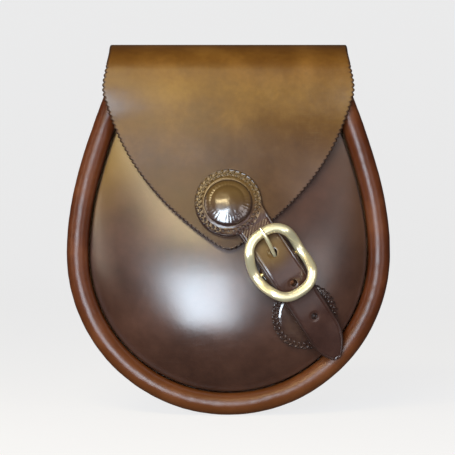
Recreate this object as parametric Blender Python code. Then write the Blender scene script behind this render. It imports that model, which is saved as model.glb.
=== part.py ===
"""A moulded leather drum stick bag: a belt pouch with a flap, a strap and a brass buckle.

Metres, +Z up. The front faces -Y and X runs across it. The origin is the middle of the
belt slot behind the back. Heights called "up" are measured from the bag's lowest point.
"""

import math

import bmesh
import bpy
from mathutils import Matrix, Vector

GAP = 0.0003  # kept between solids that touch
SLOT_UP = 0.190  # the belt slot's middle

# The bag's edge, seen from the front: half a circle below, two drawn-in sides above
EDGE_RADIUS = 0.1087
EDGE_CENTRE_UP = 0.1084
EDGE_TOP_UP = 0.244
EDGE_TOP_HALF_WIDTH = 0.073
EDGE_TOP_LEAN = 0.37  # how far the side leans in for each unit up, at the top
EDGE_BULGE = 0.045  # how long the side stays upright above the half circle
EDGE_DRAW_IN = 0.050
MOUTH_UP = 0.229

# Leather
HIDE = 0.003
LINING_HIDE = 0.0025
CHAPE_HIDE = 0.002

# Body
BACK_REAR_Y = -0.003
BACK_INSET = 0.0045
BACK_TOP_HALF_WIDTH = 0.0805
PIPING_RADIUS = 0.0075
PIPING_WALL = 0.0023
PIPING_TOP_UP = 0.230
SEAM_DEPTH_TOP = 0.030  # seam plane in front of the origin at SEAM_LEVEL_UP's height
SEAM_SPLAY = 0.0833  # the bag grows this much deeper for each unit down
SEAM_LEVEL_UP = 0.240
DOME_HEIGHT = 0.027
DOME_TOP_HEIGHT = 0.006
DOME_SAG = 0.58  # how much fuller the dome is low down than at its widest, and flatter above
PANEL_INSET = 0.0166

# Flap
BACK_FOLD_UP = 0.2377  # where the back starts to bend forwards
BACK_FOLD_RADIUS = 0.0105
FLAP_FRONT_RADIUS = 0.025
FOLD_FLAT = 0.001  # a level stretch on each side of the hinge line
BACK_Y = BACK_REAR_Y - HIDE / 2
HINGE_Y = BACK_Y - BACK_FOLD_RADIUS - FOLD_FLAT
HINGE_UP = BACK_FOLD_UP + BACK_FOLD_RADIUS + HIDE / 2  # on the hide's outer face
FLAP_LEAN = math.radians(15.5)  # of the flap's straight stretch below the front fold
FLAP_STRAIGHT_END_UP = 0.195
FLAP_MEETS_DOME_UP = 0.135
FLAP_STAND_OFF = 0.0024  # air between the flap and the dome
FLAP_SIDE_HEIGHT = 0.0095  # the flap's middle over the seam plane, at its sides
FLAP_TIP_UP = 0.1107
FLAP_SHOULDER_UP = 0.212

# Strap: "along" runs down it from the buckle's bar, "across" towards the upper right
BUCKLE_X = 0.0334
BUCKLE_UP = 0.1009
STRAP_SLOPE = math.radians(56.6)
STRAP_HALF_WIDTH = 0.0116
STRAP_TIP_ALONG = 0.074
STRAP_TIP_ACROSS = -0.002
TAPER_ALONG = 0.053
UPPER_ROSETTE = (-0.052, -0.006)
LOWER_ROSETTE = (0.038, -0.0048)
ROSETTE_RADIUS = 0.022
STRAP_HOLE_RADIUS = 0.00225
STRAP_HOLES = (0.0151, 0.041)

# Buckle, in its own frame: X along, Y across, Z out of the bag
SEAT_ACROSS = -0.0015  # its foot on the sloping dome, so that the frame stands over the strap
BAR_RADIUS = 0.0015
BAR_HALF_LENGTH = 0.0169
LOOP_INNER_RADIUS = BAR_RADIUS + GAP
BAR_HEIGHT = GAP + CHAPE_HIDE + LOOP_INNER_RADIUS
FRAME_HALF_LENGTH = 0.02275
FRAME_HALF_WIDTH = 0.01755
FRAME_SQUARENESS = 2.6
FRAME_RIM = 0.00325
FRAME_THICKNESS = 0.0027
FRAME_HEIGHT = 0.0119
FRAME_SADDLE_DEPTH = 0.0075
FRAME_SADDLE_HALF_LENGTH = 0.0165
TONGUE_RADIUS = 0.0012
TONGUE_HOOK_THINNING = 0.6
TONGUE_TIP_ALONG = -0.0255

# Belt loop
LOOP_HALF_WIDTH = 0.0275
LOOP_SLOT_DEPTH = 0.006
LOOP_SLOT_HALF_HEIGHT = 0.026
LOOP_BEND_RADIUS = 0.0045
LOOP_TAB = 0.014
LOOP_RIVET_X = 0.017
LOOP_RIVET_RISE = 0.0385

# Boss and rivets
BOSS_RADIUS = 0.0158
BOSS_HEIGHT = 0.0055
BOSS_HIDE = 0.0016
FORMER_BORE = 0.0052
RIVET_SHANK = 0.0016
RIVET_HEAD = 0.004
RIVET_HEAD_HEIGHT = 0.0013
BURR_RADIUS = 0.0036
BURR_THICKNESS = 0.0009
RIVET_TAIL = 0.0005
CHAPE_RIVET_ALONG = 0.0125
ROUND_STEPS = 16

LEATHER_BROWN = (0.075, 0.028, 0.016)
FLAP_BROWN = (0.20, 0.095, 0.035)
PIPING_CHESTNUT = (0.22, 0.065, 0.020)
STRAP_BROWN = (0.070, 0.030, 0.017)
RAW_LEATHER = (0.36, 0.22, 0.12)
CORE_FELT = (0.45, 0.40, 0.33)
POLISHED_BRASS = (0.83, 0.62, 0.26)
COPPER = (0.72, 0.38, 0.24)


# ---------------------------------------------------------------- curves and surfaces

def smooth(t):
    """0 below 0, 1 above 1, and an even S between."""
    t = min(max(t, 0.0), 1.0)
    return t * t * (3 - 2 * t)


def bezier(points, t):
    """A point on the cubic curve with these four control points."""
    weights = ((1 - t) ** 3, 3 * (1 - t) ** 2 * t, 3 * (1 - t) * t * t, t ** 3)
    return sum((w * Vector(p) for w, p in zip(weights, points)), Vector((0, 0)))


def reach(curve, up):
    """Where a curve t -> (x, up) that rises all the way has this height."""
    low, high = 0.0, 1.0
    for _ in range(40):
        middle = (low + high) / 2
        low, high = (middle, high) if curve(middle).y < up else (low, middle)
    return low


def eased(stops, at):
    """A smooth line through (place, value) stops, level before the first and after the last."""
    if at <= stops[0][0]:
        return stops[0][1]
    for k, ((a, va), (b, vb)) in enumerate(zip(stops, stops[1:])):
        if at <= b:
            before, after = stops[max(k - 1, 0)], stops[min(k + 2, len(stops) - 1)]
            slope_a = (vb - before[1]) / (b - before[0]) * (b - a)
            slope_b = (after[1] - va) / (after[0] - a) * (b - a)
            t = (at - a) / (b - a)
            return (va * (2 * t ** 3 - 3 * t * t + 1) + slope_a * (t ** 3 - 2 * t * t + t)
                    + vb * (3 * t * t - 2 * t ** 3) + slope_b * (t ** 3 - t * t))
    return stops[-1][1]


def side(t, inset=0.0):
    """The bag's right side, moved inwards by inset, from the half circle (t=0) to the top."""
    top = Vector((EDGE_TOP_HALF_WIDTH, EDGE_TOP_UP))
    points = ((EDGE_RADIUS, EDGE_CENTRE_UP), (EDGE_RADIUS, EDGE_CENTRE_UP + EDGE_BULGE),
              top + EDGE_DRAW_IN * Vector((EDGE_TOP_LEAN, -1)), top)
    step = 1e-4
    run = (bezier(points, t + step) - bezier(points, t - step)).normalized()
    return bezier(points, t) + inset * Vector((-run.y, run.x))


def half_edge(inset, top_up, arc_steps=12, side_steps=8):
    """The right half of the bag's edge, from its lowest point to a height."""
    centre, radius = Vector((0, EDGE_CENTRE_UP)), EDGE_RADIUS - inset
    turns = (math.pi / 2 * (k / arc_steps - 1) for k in range(arc_steps))
    points = [centre + radius * Vector((math.cos(a), math.sin(a))) for a in turns]
    end = reach(lambda t: side(t, inset), top_up)
    return points + [side(end * k / side_steps, inset) for k in range(side_steps + 1)]


def whole_edge(inset, top_up):
    """The bag's edge from its upper left, round the bottom, to its upper right."""
    right = half_edge(inset, top_up)
    return [Vector((-p.x, p.y)) for p in reversed(right[1:])] + right


def half_width(up):
    """Half the bag's width at a height above its half circle's centre."""
    return side(reach(side, up)).x


def seam_y(up):
    """The plane in which the front panel and the piping are sewn to the gusset."""
    return -(SEAM_DEPTH_TOP + SEAM_SPLAY * (SEAM_LEVEL_UP - up))


def crown(up):
    """The dome's height over the seam plane on the bag's middle line."""
    rise = smooth((up - EDGE_CENTRE_UP) / (SEAM_LEVEL_UP - EDGE_CENTRE_UP))
    sag = 1 - DOME_SAG * (up - EDGE_CENTRE_UP) / EDGE_RADIUS
    return (DOME_HEIGHT + (DOME_TOP_HEIGHT - DOME_HEIGHT) * rise) * sag


def panel_middle(x, up):
    """The front panel's middle surface, as a Y for each (x, up)."""
    rim = 2 * PIPING_RADIUS + GAP
    if up < EDGE_CENTRE_UP:
        share = math.hypot(x, up - EDGE_CENTRE_UP) / (EDGE_RADIUS - rim)
    else:
        share = abs(x) / (half_width(up) - rim)
    return seam_y(up) - crown(up) * max(1 - share * share, 0.0) ** 0.8


def front_fold():
    """(y, up) of the front fold's centre and of where its arc runs into the straight stretch."""
    centre = Vector((HINGE_Y - FOLD_FLAT, HINGE_UP - HIDE / 2 - FLAP_FRONT_RADIUS))
    outwards = Vector((-math.cos(FLAP_LEAN), math.sin(FLAP_LEAN)))
    return centre, centre + FLAP_FRONT_RADIUS * outwards


def flap_profile(up):
    """The flap's middle surface on the bag's middle line: straight, then laid on the dome."""
    end = front_fold()[1]
    straight = end.x + (up - end.y) * math.tan(FLAP_LEAN)
    laid = panel_middle(0, up) - HIDE - FLAP_STAND_OFF
    share = (FLAP_STRAIGHT_END_UP - up) / (FLAP_STRAIGHT_END_UP - FLAP_MEETS_DOME_UP)
    return straight + (laid - straight) * smooth(share)


def flap_middle(x, up, centre_y=None):
    """The flap's middle surface, as a Y for each (x, up). It falls back towards its sides."""
    if centre_y is None:
        centre_y = flap_profile(up)
    flat_from = front_fold()[1].y
    share = 1 - smooth((up - FLAP_STRAIGHT_END_UP) / (flat_from - FLAP_STRAIGHT_END_UP))
    if share == 0:
        return centre_y
    spare = seam_y(up) - centre_y - FLAP_SIDE_HEIGHT
    reach_x = EDGE_RADIUS if up < EDGE_CENTRE_UP else half_width(up)
    return centre_y + share * spare * (x / reach_x) ** 2


def in_front(surface, x, up, distance):
    """A point this far out of a surface, straight in front of (x, up)."""
    step = 1e-4
    slope_x = (surface(x + step, up) - surface(x - step, up)) / (2 * step)
    slope_z = (surface(x, up + step) - surface(x, up - step)) / (2 * step)
    y = surface(x, up) - distance * math.sqrt(1 + slope_x ** 2 + slope_z ** 2)
    return Vector((x, y, up - SLOT_UP))


def strap_place(along, across):
    """(x, up) of a place on the strap, seen from the front."""
    c, s = math.cos(STRAP_SLOPE), math.sin(STRAP_SLOPE)
    return BUCKLE_X + along * c + across * s, BUCKLE_UP - along * s + across * c


def local_frame(surface, along, across, distance):
    """A frame on a surface: X down the strap, Y across it, Z out of the bag."""
    def at(a, b):
        return in_front(surface, *strap_place(a, b), distance)

    step = 1e-3
    x_axis = (at(along + step, across) - at(along - step, across)).normalized()
    y_axis = at(along, across + step) - at(along, across - step)
    z_axis = x_axis.cross(y_axis).normalized()
    y_axis = z_axis.cross(x_axis)
    turn = Matrix((x_axis, y_axis, z_axis)).transposed().to_4x4()
    return Matrix.Translation(at(along, across)) @ turn


# ---------------------------------------------------------------- building blocks

def material(name, colour, roughness, metallic=0.0):
    """A Principled material for one object."""
    made = bpy.data.materials.new(name)
    made.use_nodes = True
    shader = made.node_tree.nodes["Principled BSDF"]
    shader.inputs["Base Color"].default_value = (*colour, 1)
    shader.inputs["Roughness"].default_value = roughness
    shader.inputs["Metallic"].default_value = metallic
    made.diffuse_color = (*colour, 1)
    return made


def add(name, data, finish, parent=None):
    """Puts a mesh or curve into the scene as a named object with its own material."""
    thing = bpy.data.objects.new(name, data)
    bpy.context.collection.objects.link(thing)
    data.materials.append(material(name, *finish))
    thing.parent = parent
    return thing


def frame_empty(name, matrix, parent=None):
    """An empty that carries a sub-assembly's own frame."""
    thing = bpy.data.objects.new(name, None)
    bpy.context.collection.objects.link(thing)
    thing.parent = parent
    thing.matrix_local = matrix
    return thing


def grid_mesh(name, rows, wrap_rows=False, wrap_columns=False, caps=False):
    """A mesh of four-sided faces through rows of points, all of one length."""
    bm = bmesh.new()
    lines = [[bm.verts.new(p) for p in row] for row in rows]
    pairs = list(zip(lines, lines[1:])) + ([(lines[-1], lines[0])] if wrap_rows else [])
    for one, two in pairs:
        for k in range(len(one) if wrap_columns else len(one) - 1):
            n = (k + 1) % len(one)
            bm.faces.new((one[k], one[n], two[n], two[k]))
    if caps:
        bm.faces.new(lines[0][::-1])
        bm.faces.new(lines[-1])
    bmesh.ops.recalc_face_normals(bm, faces=bm.faces)
    mesh = bpy.data.meshes.new(name)
    bm.to_mesh(mesh)
    bm.free()
    mesh.shade_smooth()
    mesh.set_sharp_from_angle(angle=math.radians(40))
    return mesh


def turned_mesh(name, profile):
    """A turned solid about Z from (radius, height) points; off the axis, its ends are joined."""
    bm = bmesh.new()
    points = [bm.verts.new((r, 0, z)) for r, z in profile]
    edges = [bm.edges.new(pair) for pair in zip(points, points[1:])]
    if profile[0][0] > 0:
        edges.append(bm.edges.new((points[-1], points[0])))
    bmesh.ops.spin(bm, geom=points + edges, cent=(0, 0, 0), axis=(0, 0, 1), dvec=(0, 0, 0),
                   angle=2 * math.pi, steps=ROUND_STEPS, use_merge=True)
    bmesh.ops.remove_doubles(bm, verts=bm.verts, dist=1e-6)
    bmesh.ops.recalc_face_normals(bm, faces=bm.faces)
    mesh = bpy.data.meshes.new(name)
    bm.to_mesh(mesh)
    bm.free()
    mesh.shade_smooth()
    mesh.set_sharp_from_angle(angle=math.radians(40))
    return mesh


def thicken(thing, thickness):
    """Gives a leather sheet its thickness, half to each side of its middle surface."""
    shell = thing.modifiers.new("Hide thickness", "SOLIDIFY")
    shell.thickness = thickness
    shell.offset = 0
    shell.use_even_offset = True


def cut(thing, cutter):
    """Cuts a hidden cutter out of an object."""
    cutter.hide_render = True
    cutter.display_type = "WIRE"
    hole = thing.modifiers.new("Cut " + cutter.name, "BOOLEAN")
    hole.operation = "DIFFERENCE"
    hole.object = cutter


def round_cutter(name, radius, low, high, place, steps=12):
    """A hidden round bar along its frame's Z, to cut holes with."""
    bm = bmesh.new()
    bmesh.ops.create_cone(bm, cap_ends=True, segments=steps, radius1=radius, radius2=radius,
                          depth=high - low, matrix=Matrix.Translation((0, 0, (low + high) / 2)))
    mesh = bpy.data.meshes.new(name)
    bm.to_mesh(mesh)
    bm.free()
    thing = bpy.data.objects.new(name, mesh)
    bpy.context.collection.objects.link(thing)
    thing.matrix_world = place
    return thing


def tube_curve(name, points, radius, radii=None, caps=True, sides=3):
    """A round tube through points, as a curve with a bevel."""
    curve = bpy.data.curves.new(name, "CURVE")
    curve.dimensions = "3D"
    curve.bevel_depth = radius
    curve.bevel_resolution = sides
    curve.use_fill_caps = caps
    line = curve.splines.new("POLY")
    line.points.add(len(points) - 1)
    for k, p in enumerate(points):
        line.points[k].co = (*p, 1)
        line.points[k].radius = radii[k] if radii else 1.0
    return curve


def rivet_mesh(name, grip):
    """A domed rivet: its head sits on Z = 0 and its shank runs down through the grip."""
    end = -(grip + BURR_THICKNESS + RIVET_TAIL)
    crown_points = [(RIVET_HEAD * math.cos(a), RIVET_HEAD_HEIGHT * math.sin(a))
                    for a in (math.pi / 2 * k / 4 for k in range(4, -1, -1))]
    profile = [(0, crown_points[0][1])] + crown_points[1:] + [
        (RIVET_SHANK, 0), (RIVET_SHANK, end), (0, end)]
    return turned_mesh(name, profile)


def burr_mesh(name):
    """The washer that a rivet's tail is peened over, with its face at Z = 0."""
    bore = RIVET_SHANK + GAP
    return turned_mesh(name, [(bore, 0), (BURR_RADIUS, 0), (BURR_RADIUS, -BURR_THICKNESS),
                              (bore, -BURR_THICKNESS)])


def rivet_set(names, place, grip, sheets, parent=None):
    """A rivet and its burr through some sheets, with the holes that they need."""
    rivet = add(names[0], rivet_mesh(names[0], grip), (COPPER, 0.3, 1.0), parent)
    rivet.matrix_world = place
    burr = add(names[1], burr_mesh(names[1]), (COPPER, 0.35, 1.0), parent)
    burr.matrix_world = place @ Matrix.Translation((0, 0, -grip))
    drill = round_cutter(names[0] + "_hole", RIVET_SHANK + GAP, -grip - 0.002, 0.001, place)
    for sheet in sheets:
        cut(sheet, drill)


# ---------------------------------------------------------------- body

def back_panel():
    """The back: the bag's edge below, straight sides above, bent forwards to the hinge line."""
    edge = [p for p in half_edge(BACK_INSET, MOUTH_UP) if p.y < FLAP_SHOULDER_UP]
    edge += [Vector((BACK_TOP_HALF_WIDTH, up)) for up in (FLAP_SHOULDER_UP, BACK_FOLD_UP)]
    loop = edge + [Vector((-p.x, p.y)) for p in reversed(edge[1:])]
    bm = bmesh.new()
    flat = bm.faces.new([bm.verts.new((p.x, BACK_Y, p.y - SLOT_UP)) for p in loop])
    right, left = flat.verts[len(edge) - 1], flat.verts[len(edge)]
    fold = [(HINGE_Y + FOLD_FLAT + BACK_FOLD_RADIUS * math.cos(a), BACK_FOLD_RADIUS * math.sin(a))
            for a in (math.pi / 2 * k / 6 for k in range(1, 7))]
    for y, rise in fold + [(HINGE_Y + GAP / 2, BACK_FOLD_RADIUS)]:
        z = BACK_FOLD_UP + rise - SLOT_UP
        ends = [bm.verts.new((x, y, z)) for x in (right.co.x, left.co.x)]
        bm.faces.new((left, right, *ends))
        right, left = ends
    mesh = bpy.data.meshes.new("back_panel")
    bm.to_mesh(mesh)
    bm.free()
    panel = add("back_panel", mesh, (LEATHER_BROWN, 0.5))
    thicken(panel, HIDE)
    return panel


def gusset():
    """The side wall, from behind the piping to the back, with its flange turned outwards."""
    front, flange = PIPING_RADIUS + GAP, BACK_REAR_Y - HIDE - GAP
    wall_out, wall_in, lip = 0.0097, 0.0097 + LINING_HIDE, BACK_INSET
    edges = [whole_edge(inset, MOUTH_UP) for inset in (lip, wall_out, wall_in)]
    rows = []
    for at_lip, at_out, at_in in zip(*edges):
        section = ((at_out, seam_y(at_out.y) + front), (at_in, seam_y(at_in.y) + front),
                   (at_in, flange), (at_lip, flange), (at_lip, flange - LINING_HIDE),
                   (at_out, flange - LINING_HIDE))
        rows.append([(p.x, y, p.y - SLOT_UP) for p, y in section])
    add("gusset", grid_mesh("gusset", rows, wrap_columns=True, caps=True), (LEATHER_BROWN, 0.5))


def front_panel():
    """The moulded front: rings from its sewn edge in to the crown of the dome."""
    edge = whole_edge(PANEL_INSET, MOUTH_UP)
    across_top = 8
    corner = edge[-1]
    edge += [Vector((corner.x * (1 - 2 * k / across_top), MOUTH_UP)) for k in range(1, across_top)]
    centre = Vector((0, EDGE_CENTRE_UP + 0.015))
    bm = bmesh.new()
    rings = []
    for share in (1, 0.97, 0.92, 0.84, 0.72, 0.56, 0.36, 0.15):
        places = [centre + share * (p - centre) for p in edge]
        rings.append([bm.verts.new((p.x, panel_middle(p.x, p.y), p.y - SLOT_UP)) for p in places])
    for outer, inner in zip(rings, rings[1:]):
        for k in range(len(edge)):
            n = (k + 1) % len(edge)
            bm.faces.new((outer[k], outer[n], inner[n], inner[k]))
    bm.faces.new(rings[-1])
    bmesh.ops.recalc_face_normals(bm, faces=bm.faces)
    mesh = bpy.data.meshes.new("front_panel")
    bm.to_mesh(mesh)
    bm.free()
    mesh.shade_smooth()
    panel = add("front_panel", mesh, (LEATHER_BROWN, 0.3))
    thicken(panel, HIDE)
    return panel


def piping():
    """The rolled cover round the edge, and the core inside it."""
    route = [(p.x, seam_y(p.y), p.y - SLOT_UP) for p in whole_edge(PIPING_RADIUS, PIPING_TOP_UP)]
    cover = add("piping_cover", tube_curve("piping_cover", route, PIPING_RADIUS, caps=False),
                (PIPING_CHESTNUT, 0.28))
    wall = cover.modifiers.new("Wall", "SOLIDIFY")
    wall.thickness = PIPING_WALL
    wall.offset = -1
    core_radius = PIPING_RADIUS - PIPING_WALL - 2 * GAP
    add("piping_core", tube_curve("piping_core", route, core_radius, sides=2), (CORE_FELT, 0.9))


def belt_loop(back):
    """The loop for the waist belt, riveted to the back through its two tabs."""
    on_back = BACK_REAR_Y + GAP + HIDE / 2
    out = LOOP_SLOT_DEPTH / 2 + HIDE / 2
    bend = LOOP_BEND_RADIUS
    turn = LOOP_SLOT_HALF_HEIGHT + HIDE / 2 - bend
    profile = [(on_back, turn + bend + LOOP_TAB), (on_back, turn + bend + 0.004)]
    profile += [(on_back + 0.0006, turn + bend + 0.0012)]
    profile += [(out - bend + bend * math.sin(a), turn + bend * math.cos(a))
                for a in (math.pi / 2 * k / 5 for k in range(1, 6))]
    profile += [(y, -z) for y, z in reversed(profile)]
    rows = [[(LOOP_HALF_WIDTH * side_x, y, z) for side_x in (-1, -0.33, 0.33, 1)]
            for y, z in profile]
    loop = add("belt_loop", grid_mesh("belt_loop", rows), (LEATHER_BROWN, 0.4))
    thicken(loop, HIDE)
    facing_rear = Matrix.Rotation(math.radians(-90), 4, "X")
    head_y = on_back + HIDE / 2 + GAP
    grip = head_y - (BACK_REAR_Y - HIDE - GAP)
    corners = [(x, z) for z in (LOOP_RIVET_RISE, -LOOP_RIVET_RISE)
               for x in (-LOOP_RIVET_X, LOOP_RIVET_X)]
    for number, (x, z) in enumerate(corners, 1):
        place = Matrix.Translation((x, head_y, z)) @ facing_rear
        names = (f"belt_loop_rivet_{number}", f"belt_loop_burr_{number}")
        rivet_set(names, place, grip, (loop, back))


# ---------------------------------------------------------------- flap and strap

def flap(hinge):
    """The flap: forwards from the hinge line, over the front fold and down to its point."""
    centre, steps, sweep = front_fold()[0], 7, math.pi / 2 - FLAP_LEAN
    line = [Vector((HINGE_Y - GAP / 2, centre.y + FLAP_FRONT_RADIUS))]
    line += [centre + FLAP_FRONT_RADIUS * Vector((-math.sin(a), math.cos(a)))
             for a in (sweep * k / steps for k in range(steps + 1))]
    top, rows_down = line[-1].y, 20
    drops = [top + (FLAP_TIP_UP - top) * k / rows_down for k in range(1, rows_down + 1)]
    line += [Vector((flap_profile(up), up)) for up in drops]
    rows = []
    for number, (y, up) in enumerate(line):
        wide = flap_half_width(up)
        xs = [wide * (2 * k / 12 - 1) for k in range(13)]
        on_front = number > steps + 1
        rows.append([Vector((x, flap_middle(x, up, y) if on_front else y, up - SLOT_UP))
                     - hinge.location for x in xs])
    sheet = add("flap", grid_mesh("flap", rows), (FLAP_BROWN, 0.3), hinge)
    thicken(sheet, HIDE)
    return sheet


def flap_half_width(up):
    """Half the flap's width: a soft shoulder, then a side that curves in to the point."""
    shoulder = ((0.0839, 0.212), (0.0865, 0.222), (0.0818, 0.232), (0.0807, 0.243))
    flank = ((0.0085, 0.1132), (0.0520, 0.1432), (0.0719, 0.1720), (0.0839, 0.212))
    if up >= shoulder[-1][1]:
        return shoulder[-1][0]
    if up < flank[0][1]:
        blunt = (up - FLAP_TIP_UP) / (flank[0][1] - FLAP_TIP_UP)
        return 0.0047 + (flank[0][0] - 0.0047) * blunt
    curve = shoulder if up > FLAP_SHOULDER_UP else flank
    return bezier(curve, reach(lambda t: bezier(curve, t), up)).x


def strap_middle_y(along, across):
    """The strap's middle surface: on the flap, over the buckle's bar, then down to the piping."""
    on_flap = in_front(flap_middle, *strap_place(along, across), HIDE + 1.3 * GAP).y
    if along < -0.040:
        return on_flap
    supports = []
    for place in (-0.030, -0.025):
        supports.append((place, flap_middle, HIDE + 1.3 * GAP))
    for place, air in ((-0.018, 0.0058), (-0.010, 0.0070), (0, 0.0083), (0.010, 0.0072),
                       (0.017, 0.0056), (0.026, 0.0037), (0.040, 0.0034), (0.052, 0.0034)):
        supports.append((place, panel_middle, HIDE + air))
    rises, slopes = [], []
    for place, surface, distance in supports:
        low, middle, high = (in_front(surface, *strap_place(place, c), distance).y
                             for c in (-0.005, 0, 0.005))
        rises.append((place, middle))
        slopes.append((place, (high - low) / 0.010))
    tip_up = strap_place(STRAP_TIP_ALONG, 0)[1]
    rises.append((STRAP_TIP_ALONG, seam_y(tip_up) - PIPING_RADIUS - 2 * GAP - HIDE / 2))
    slopes.append((STRAP_TIP_ALONG, 0.0))
    ruled = eased(rises, along) + across * eased(slopes, along)
    return on_flap + (ruled - on_flap) * smooth((along + 0.040) / 0.010)


def strap_span(along):
    """The strap's two edges across it: the rosette's round end, the strap, the pointed tip."""
    low, high = -STRAP_HALF_WIDTH, STRAP_HALF_WIDTH
    if along > TAPER_ALONG:
        share = (along - TAPER_ALONG) / (STRAP_TIP_ALONG - TAPER_ALONG)
        half = STRAP_HALF_WIDTH * (1 - 0.78 * share ** 2.2)
        middle = STRAP_TIP_ACROSS * share
        return middle - half, middle + half
    from_centre = along - UPPER_ROSETTE[0]
    chord = math.sqrt(max(ROSETTE_RADIUS ** 2 - from_centre ** 2, 0))
    if from_centre < 0:
        return UPPER_ROSETTE[1] - chord, UPPER_ROSETTE[1] + chord
    return min(low, UPPER_ROSETTE[1] - chord), max(high, UPPER_ROSETTE[1] + chord)


def billet(hinge, tongue_path):
    """The strap and its rosette, in one piece, with its holes."""
    start, rows, columns = UPPER_ROSETTE[0] - 0.975 * ROSETTE_RADIUS, [], 6
    row_count = 38
    for number in range(row_count + 1):
        along = start + (STRAP_TIP_ALONG - start) * number / row_count
        low, high = strap_span(along)
        row = []
        for k in range(columns + 1):
            across = low + (high - low) * k / columns
            x, up = strap_place(along, across)
            row.append(Vector((x, strap_middle_y(along, across), up - SLOT_UP)) - hinge.location)
        rows.append(row)
    strap = add("billet", grid_mesh("billet", rows), (STRAP_BROWN, 0.35), hinge)
    thicken(strap, HIDE)
    for number, along in enumerate(STRAP_HOLES, 1):
        place = local_frame(panel_middle, along, 0, 0.006)
        cut(strap, round_cutter(f"strap_hole_{number}", STRAP_HOLE_RADIUS, -0.02, 0.02, place))
    wire = bpy.data.objects.new("tongue_wire", tube_curve("tongue_wire", tongue_path,
                                                          TONGUE_RADIUS + 1.5 * GAP))
    slot = bpy.data.objects.new("tongue_slot", bpy.data.meshes.new_from_object(wire))
    bpy.data.objects.remove(wire)
    bpy.context.collection.objects.link(slot)
    cut(strap, slot)
    return strap


def boss(hinge, strap, sheet):
    """The domed boss on the rosette, the ring that shapes it and the rivet under it."""
    top = HIDE * 1.5 + 3.6 * GAP
    place = local_frame(flap_middle, *UPPER_ROSETTE, top)
    ball = (BOSS_RADIUS ** 2 + BOSS_HEIGHT ** 2) / (2 * BOSS_HEIGHT)

    def cap(radius_off, floor):
        """Points down a cap of the boss's ball, shrunk by radius_off, to a floor height."""
        radius, sink = ball - radius_off, BOSS_HEIGHT - ball
        reach_out = math.acos((floor - sink) / radius)
        return [(radius * math.sin(reach_out * k / 7), sink + radius * math.cos(reach_out * k / 7))
                for k in range(8)]

    outer, inner = cap(0, 0), cap(BOSS_HIDE, 0)
    shell = add("boss_cap", turned_mesh("boss_cap", outer + inner[::-1]), (STRAP_BROWN, 0.25), hinge)
    shell.matrix_world = place
    filling = [p for p in cap(BOSS_HIDE + GAP, GAP) if p[0] > FORMER_BORE]
    sink, radius = BOSS_HEIGHT - ball, ball - BOSS_HIDE - GAP
    lip = sink + math.sqrt(radius ** 2 - FORMER_BORE ** 2)
    ring = [(FORMER_BORE, GAP), (FORMER_BORE, lip)] + filling
    former = add("boss_former", turned_mesh("boss_former", ring), (RAW_LEATHER, 0.8), hinge)
    former.matrix_world = place
    grip = top + HIDE / 2 + GAP
    rivet_set(("boss_rivet", "boss_burr"), place, grip, (strap, sheet), hinge)


# ---------------------------------------------------------------- chape and buckle

def chape(panel, seat):
    """The leather that holds the buckle: a rosette on the panel and a loop round the bar."""
    middle_radius = LOOP_INNER_RADIUS + CHAPE_HIDE / 2
    low = GAP + CHAPE_HIDE / 2
    upper_low = low + CHAPE_HIDE + GAP
    line = [(LOWER_ROSETTE[0] + 0.975 * ROSETTE_RADIUS * (1 - k / 12 * 2), low) for k in range(13)]
    line += [(0.012, low), (0.008, low), (0.004, low)]
    line += [(-middle_radius * math.sin(a), BAR_HEIGHT - middle_radius * math.cos(a))
             for a in (math.pi * k / 10 for k in range(11))]
    line += [(0.0035, upper_low + 0.0024), (0.007, upper_low + 0.0006), (0.010, upper_low),
             (0.0175, upper_low)]
    neck = 0.013
    rows = []
    for number, (along, height) in enumerate(line):
        chord = math.sqrt(max(ROSETTE_RADIUS ** 2 - (along - LOWER_ROSETTE[0]) ** 2, 0))
        span = [-neck, neck]
        if number < 13:
            span = [LOWER_ROSETTE[1] - chord, LOWER_ROSETTE[1] + chord]
            if along < LOWER_ROSETTE[0]:
                span = [min(span[0], -neck), max(span[1], neck)]
        row = []
        for k in range(9):
            across = span[0] + (span[1] - span[0]) * k / 8
            straight = seat @ Vector((along, across, height))
            laid = in_front(panel_middle, *strap_place(along, across), HIDE / 2 + height)
            row.append(straight.lerp(laid, smooth((along - 0.002) / 0.008)))
        rows.append(row)
    holder = add("chape", grid_mesh("chape", rows), (STRAP_BROWN, 0.4))
    thicken(holder, CHAPE_HIDE)
    half_slot = TONGUE_RADIUS + 3 * GAP
    bm = bmesh.new()
    bmesh.ops.create_cube(bm, size=1)
    bmesh.ops.scale(bm, vec=(0.0110, 2 * half_slot, 0.014), verts=bm.verts)
    mesh = bpy.data.meshes.new("tongue_gap")
    bm.to_mesh(mesh)
    bm.free()
    gap = bpy.data.objects.new("tongue_gap", mesh)
    bpy.context.collection.objects.link(gap)
    gap.matrix_world = seat @ Matrix.Translation((-0.0010, 0, BAR_HEIGHT))
    cut(holder, gap)
    height = GAP + CHAPE_HIDE + GAP + CHAPE_HIDE + GAP
    place = local_frame(panel_middle, CHAPE_RIVET_ALONG, 0, HIDE / 2 + height)
    rivet_set(("chape_rivet", "chape_burr"), place, height + HIDE + 3 * GAP, (holder, panel))


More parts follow.
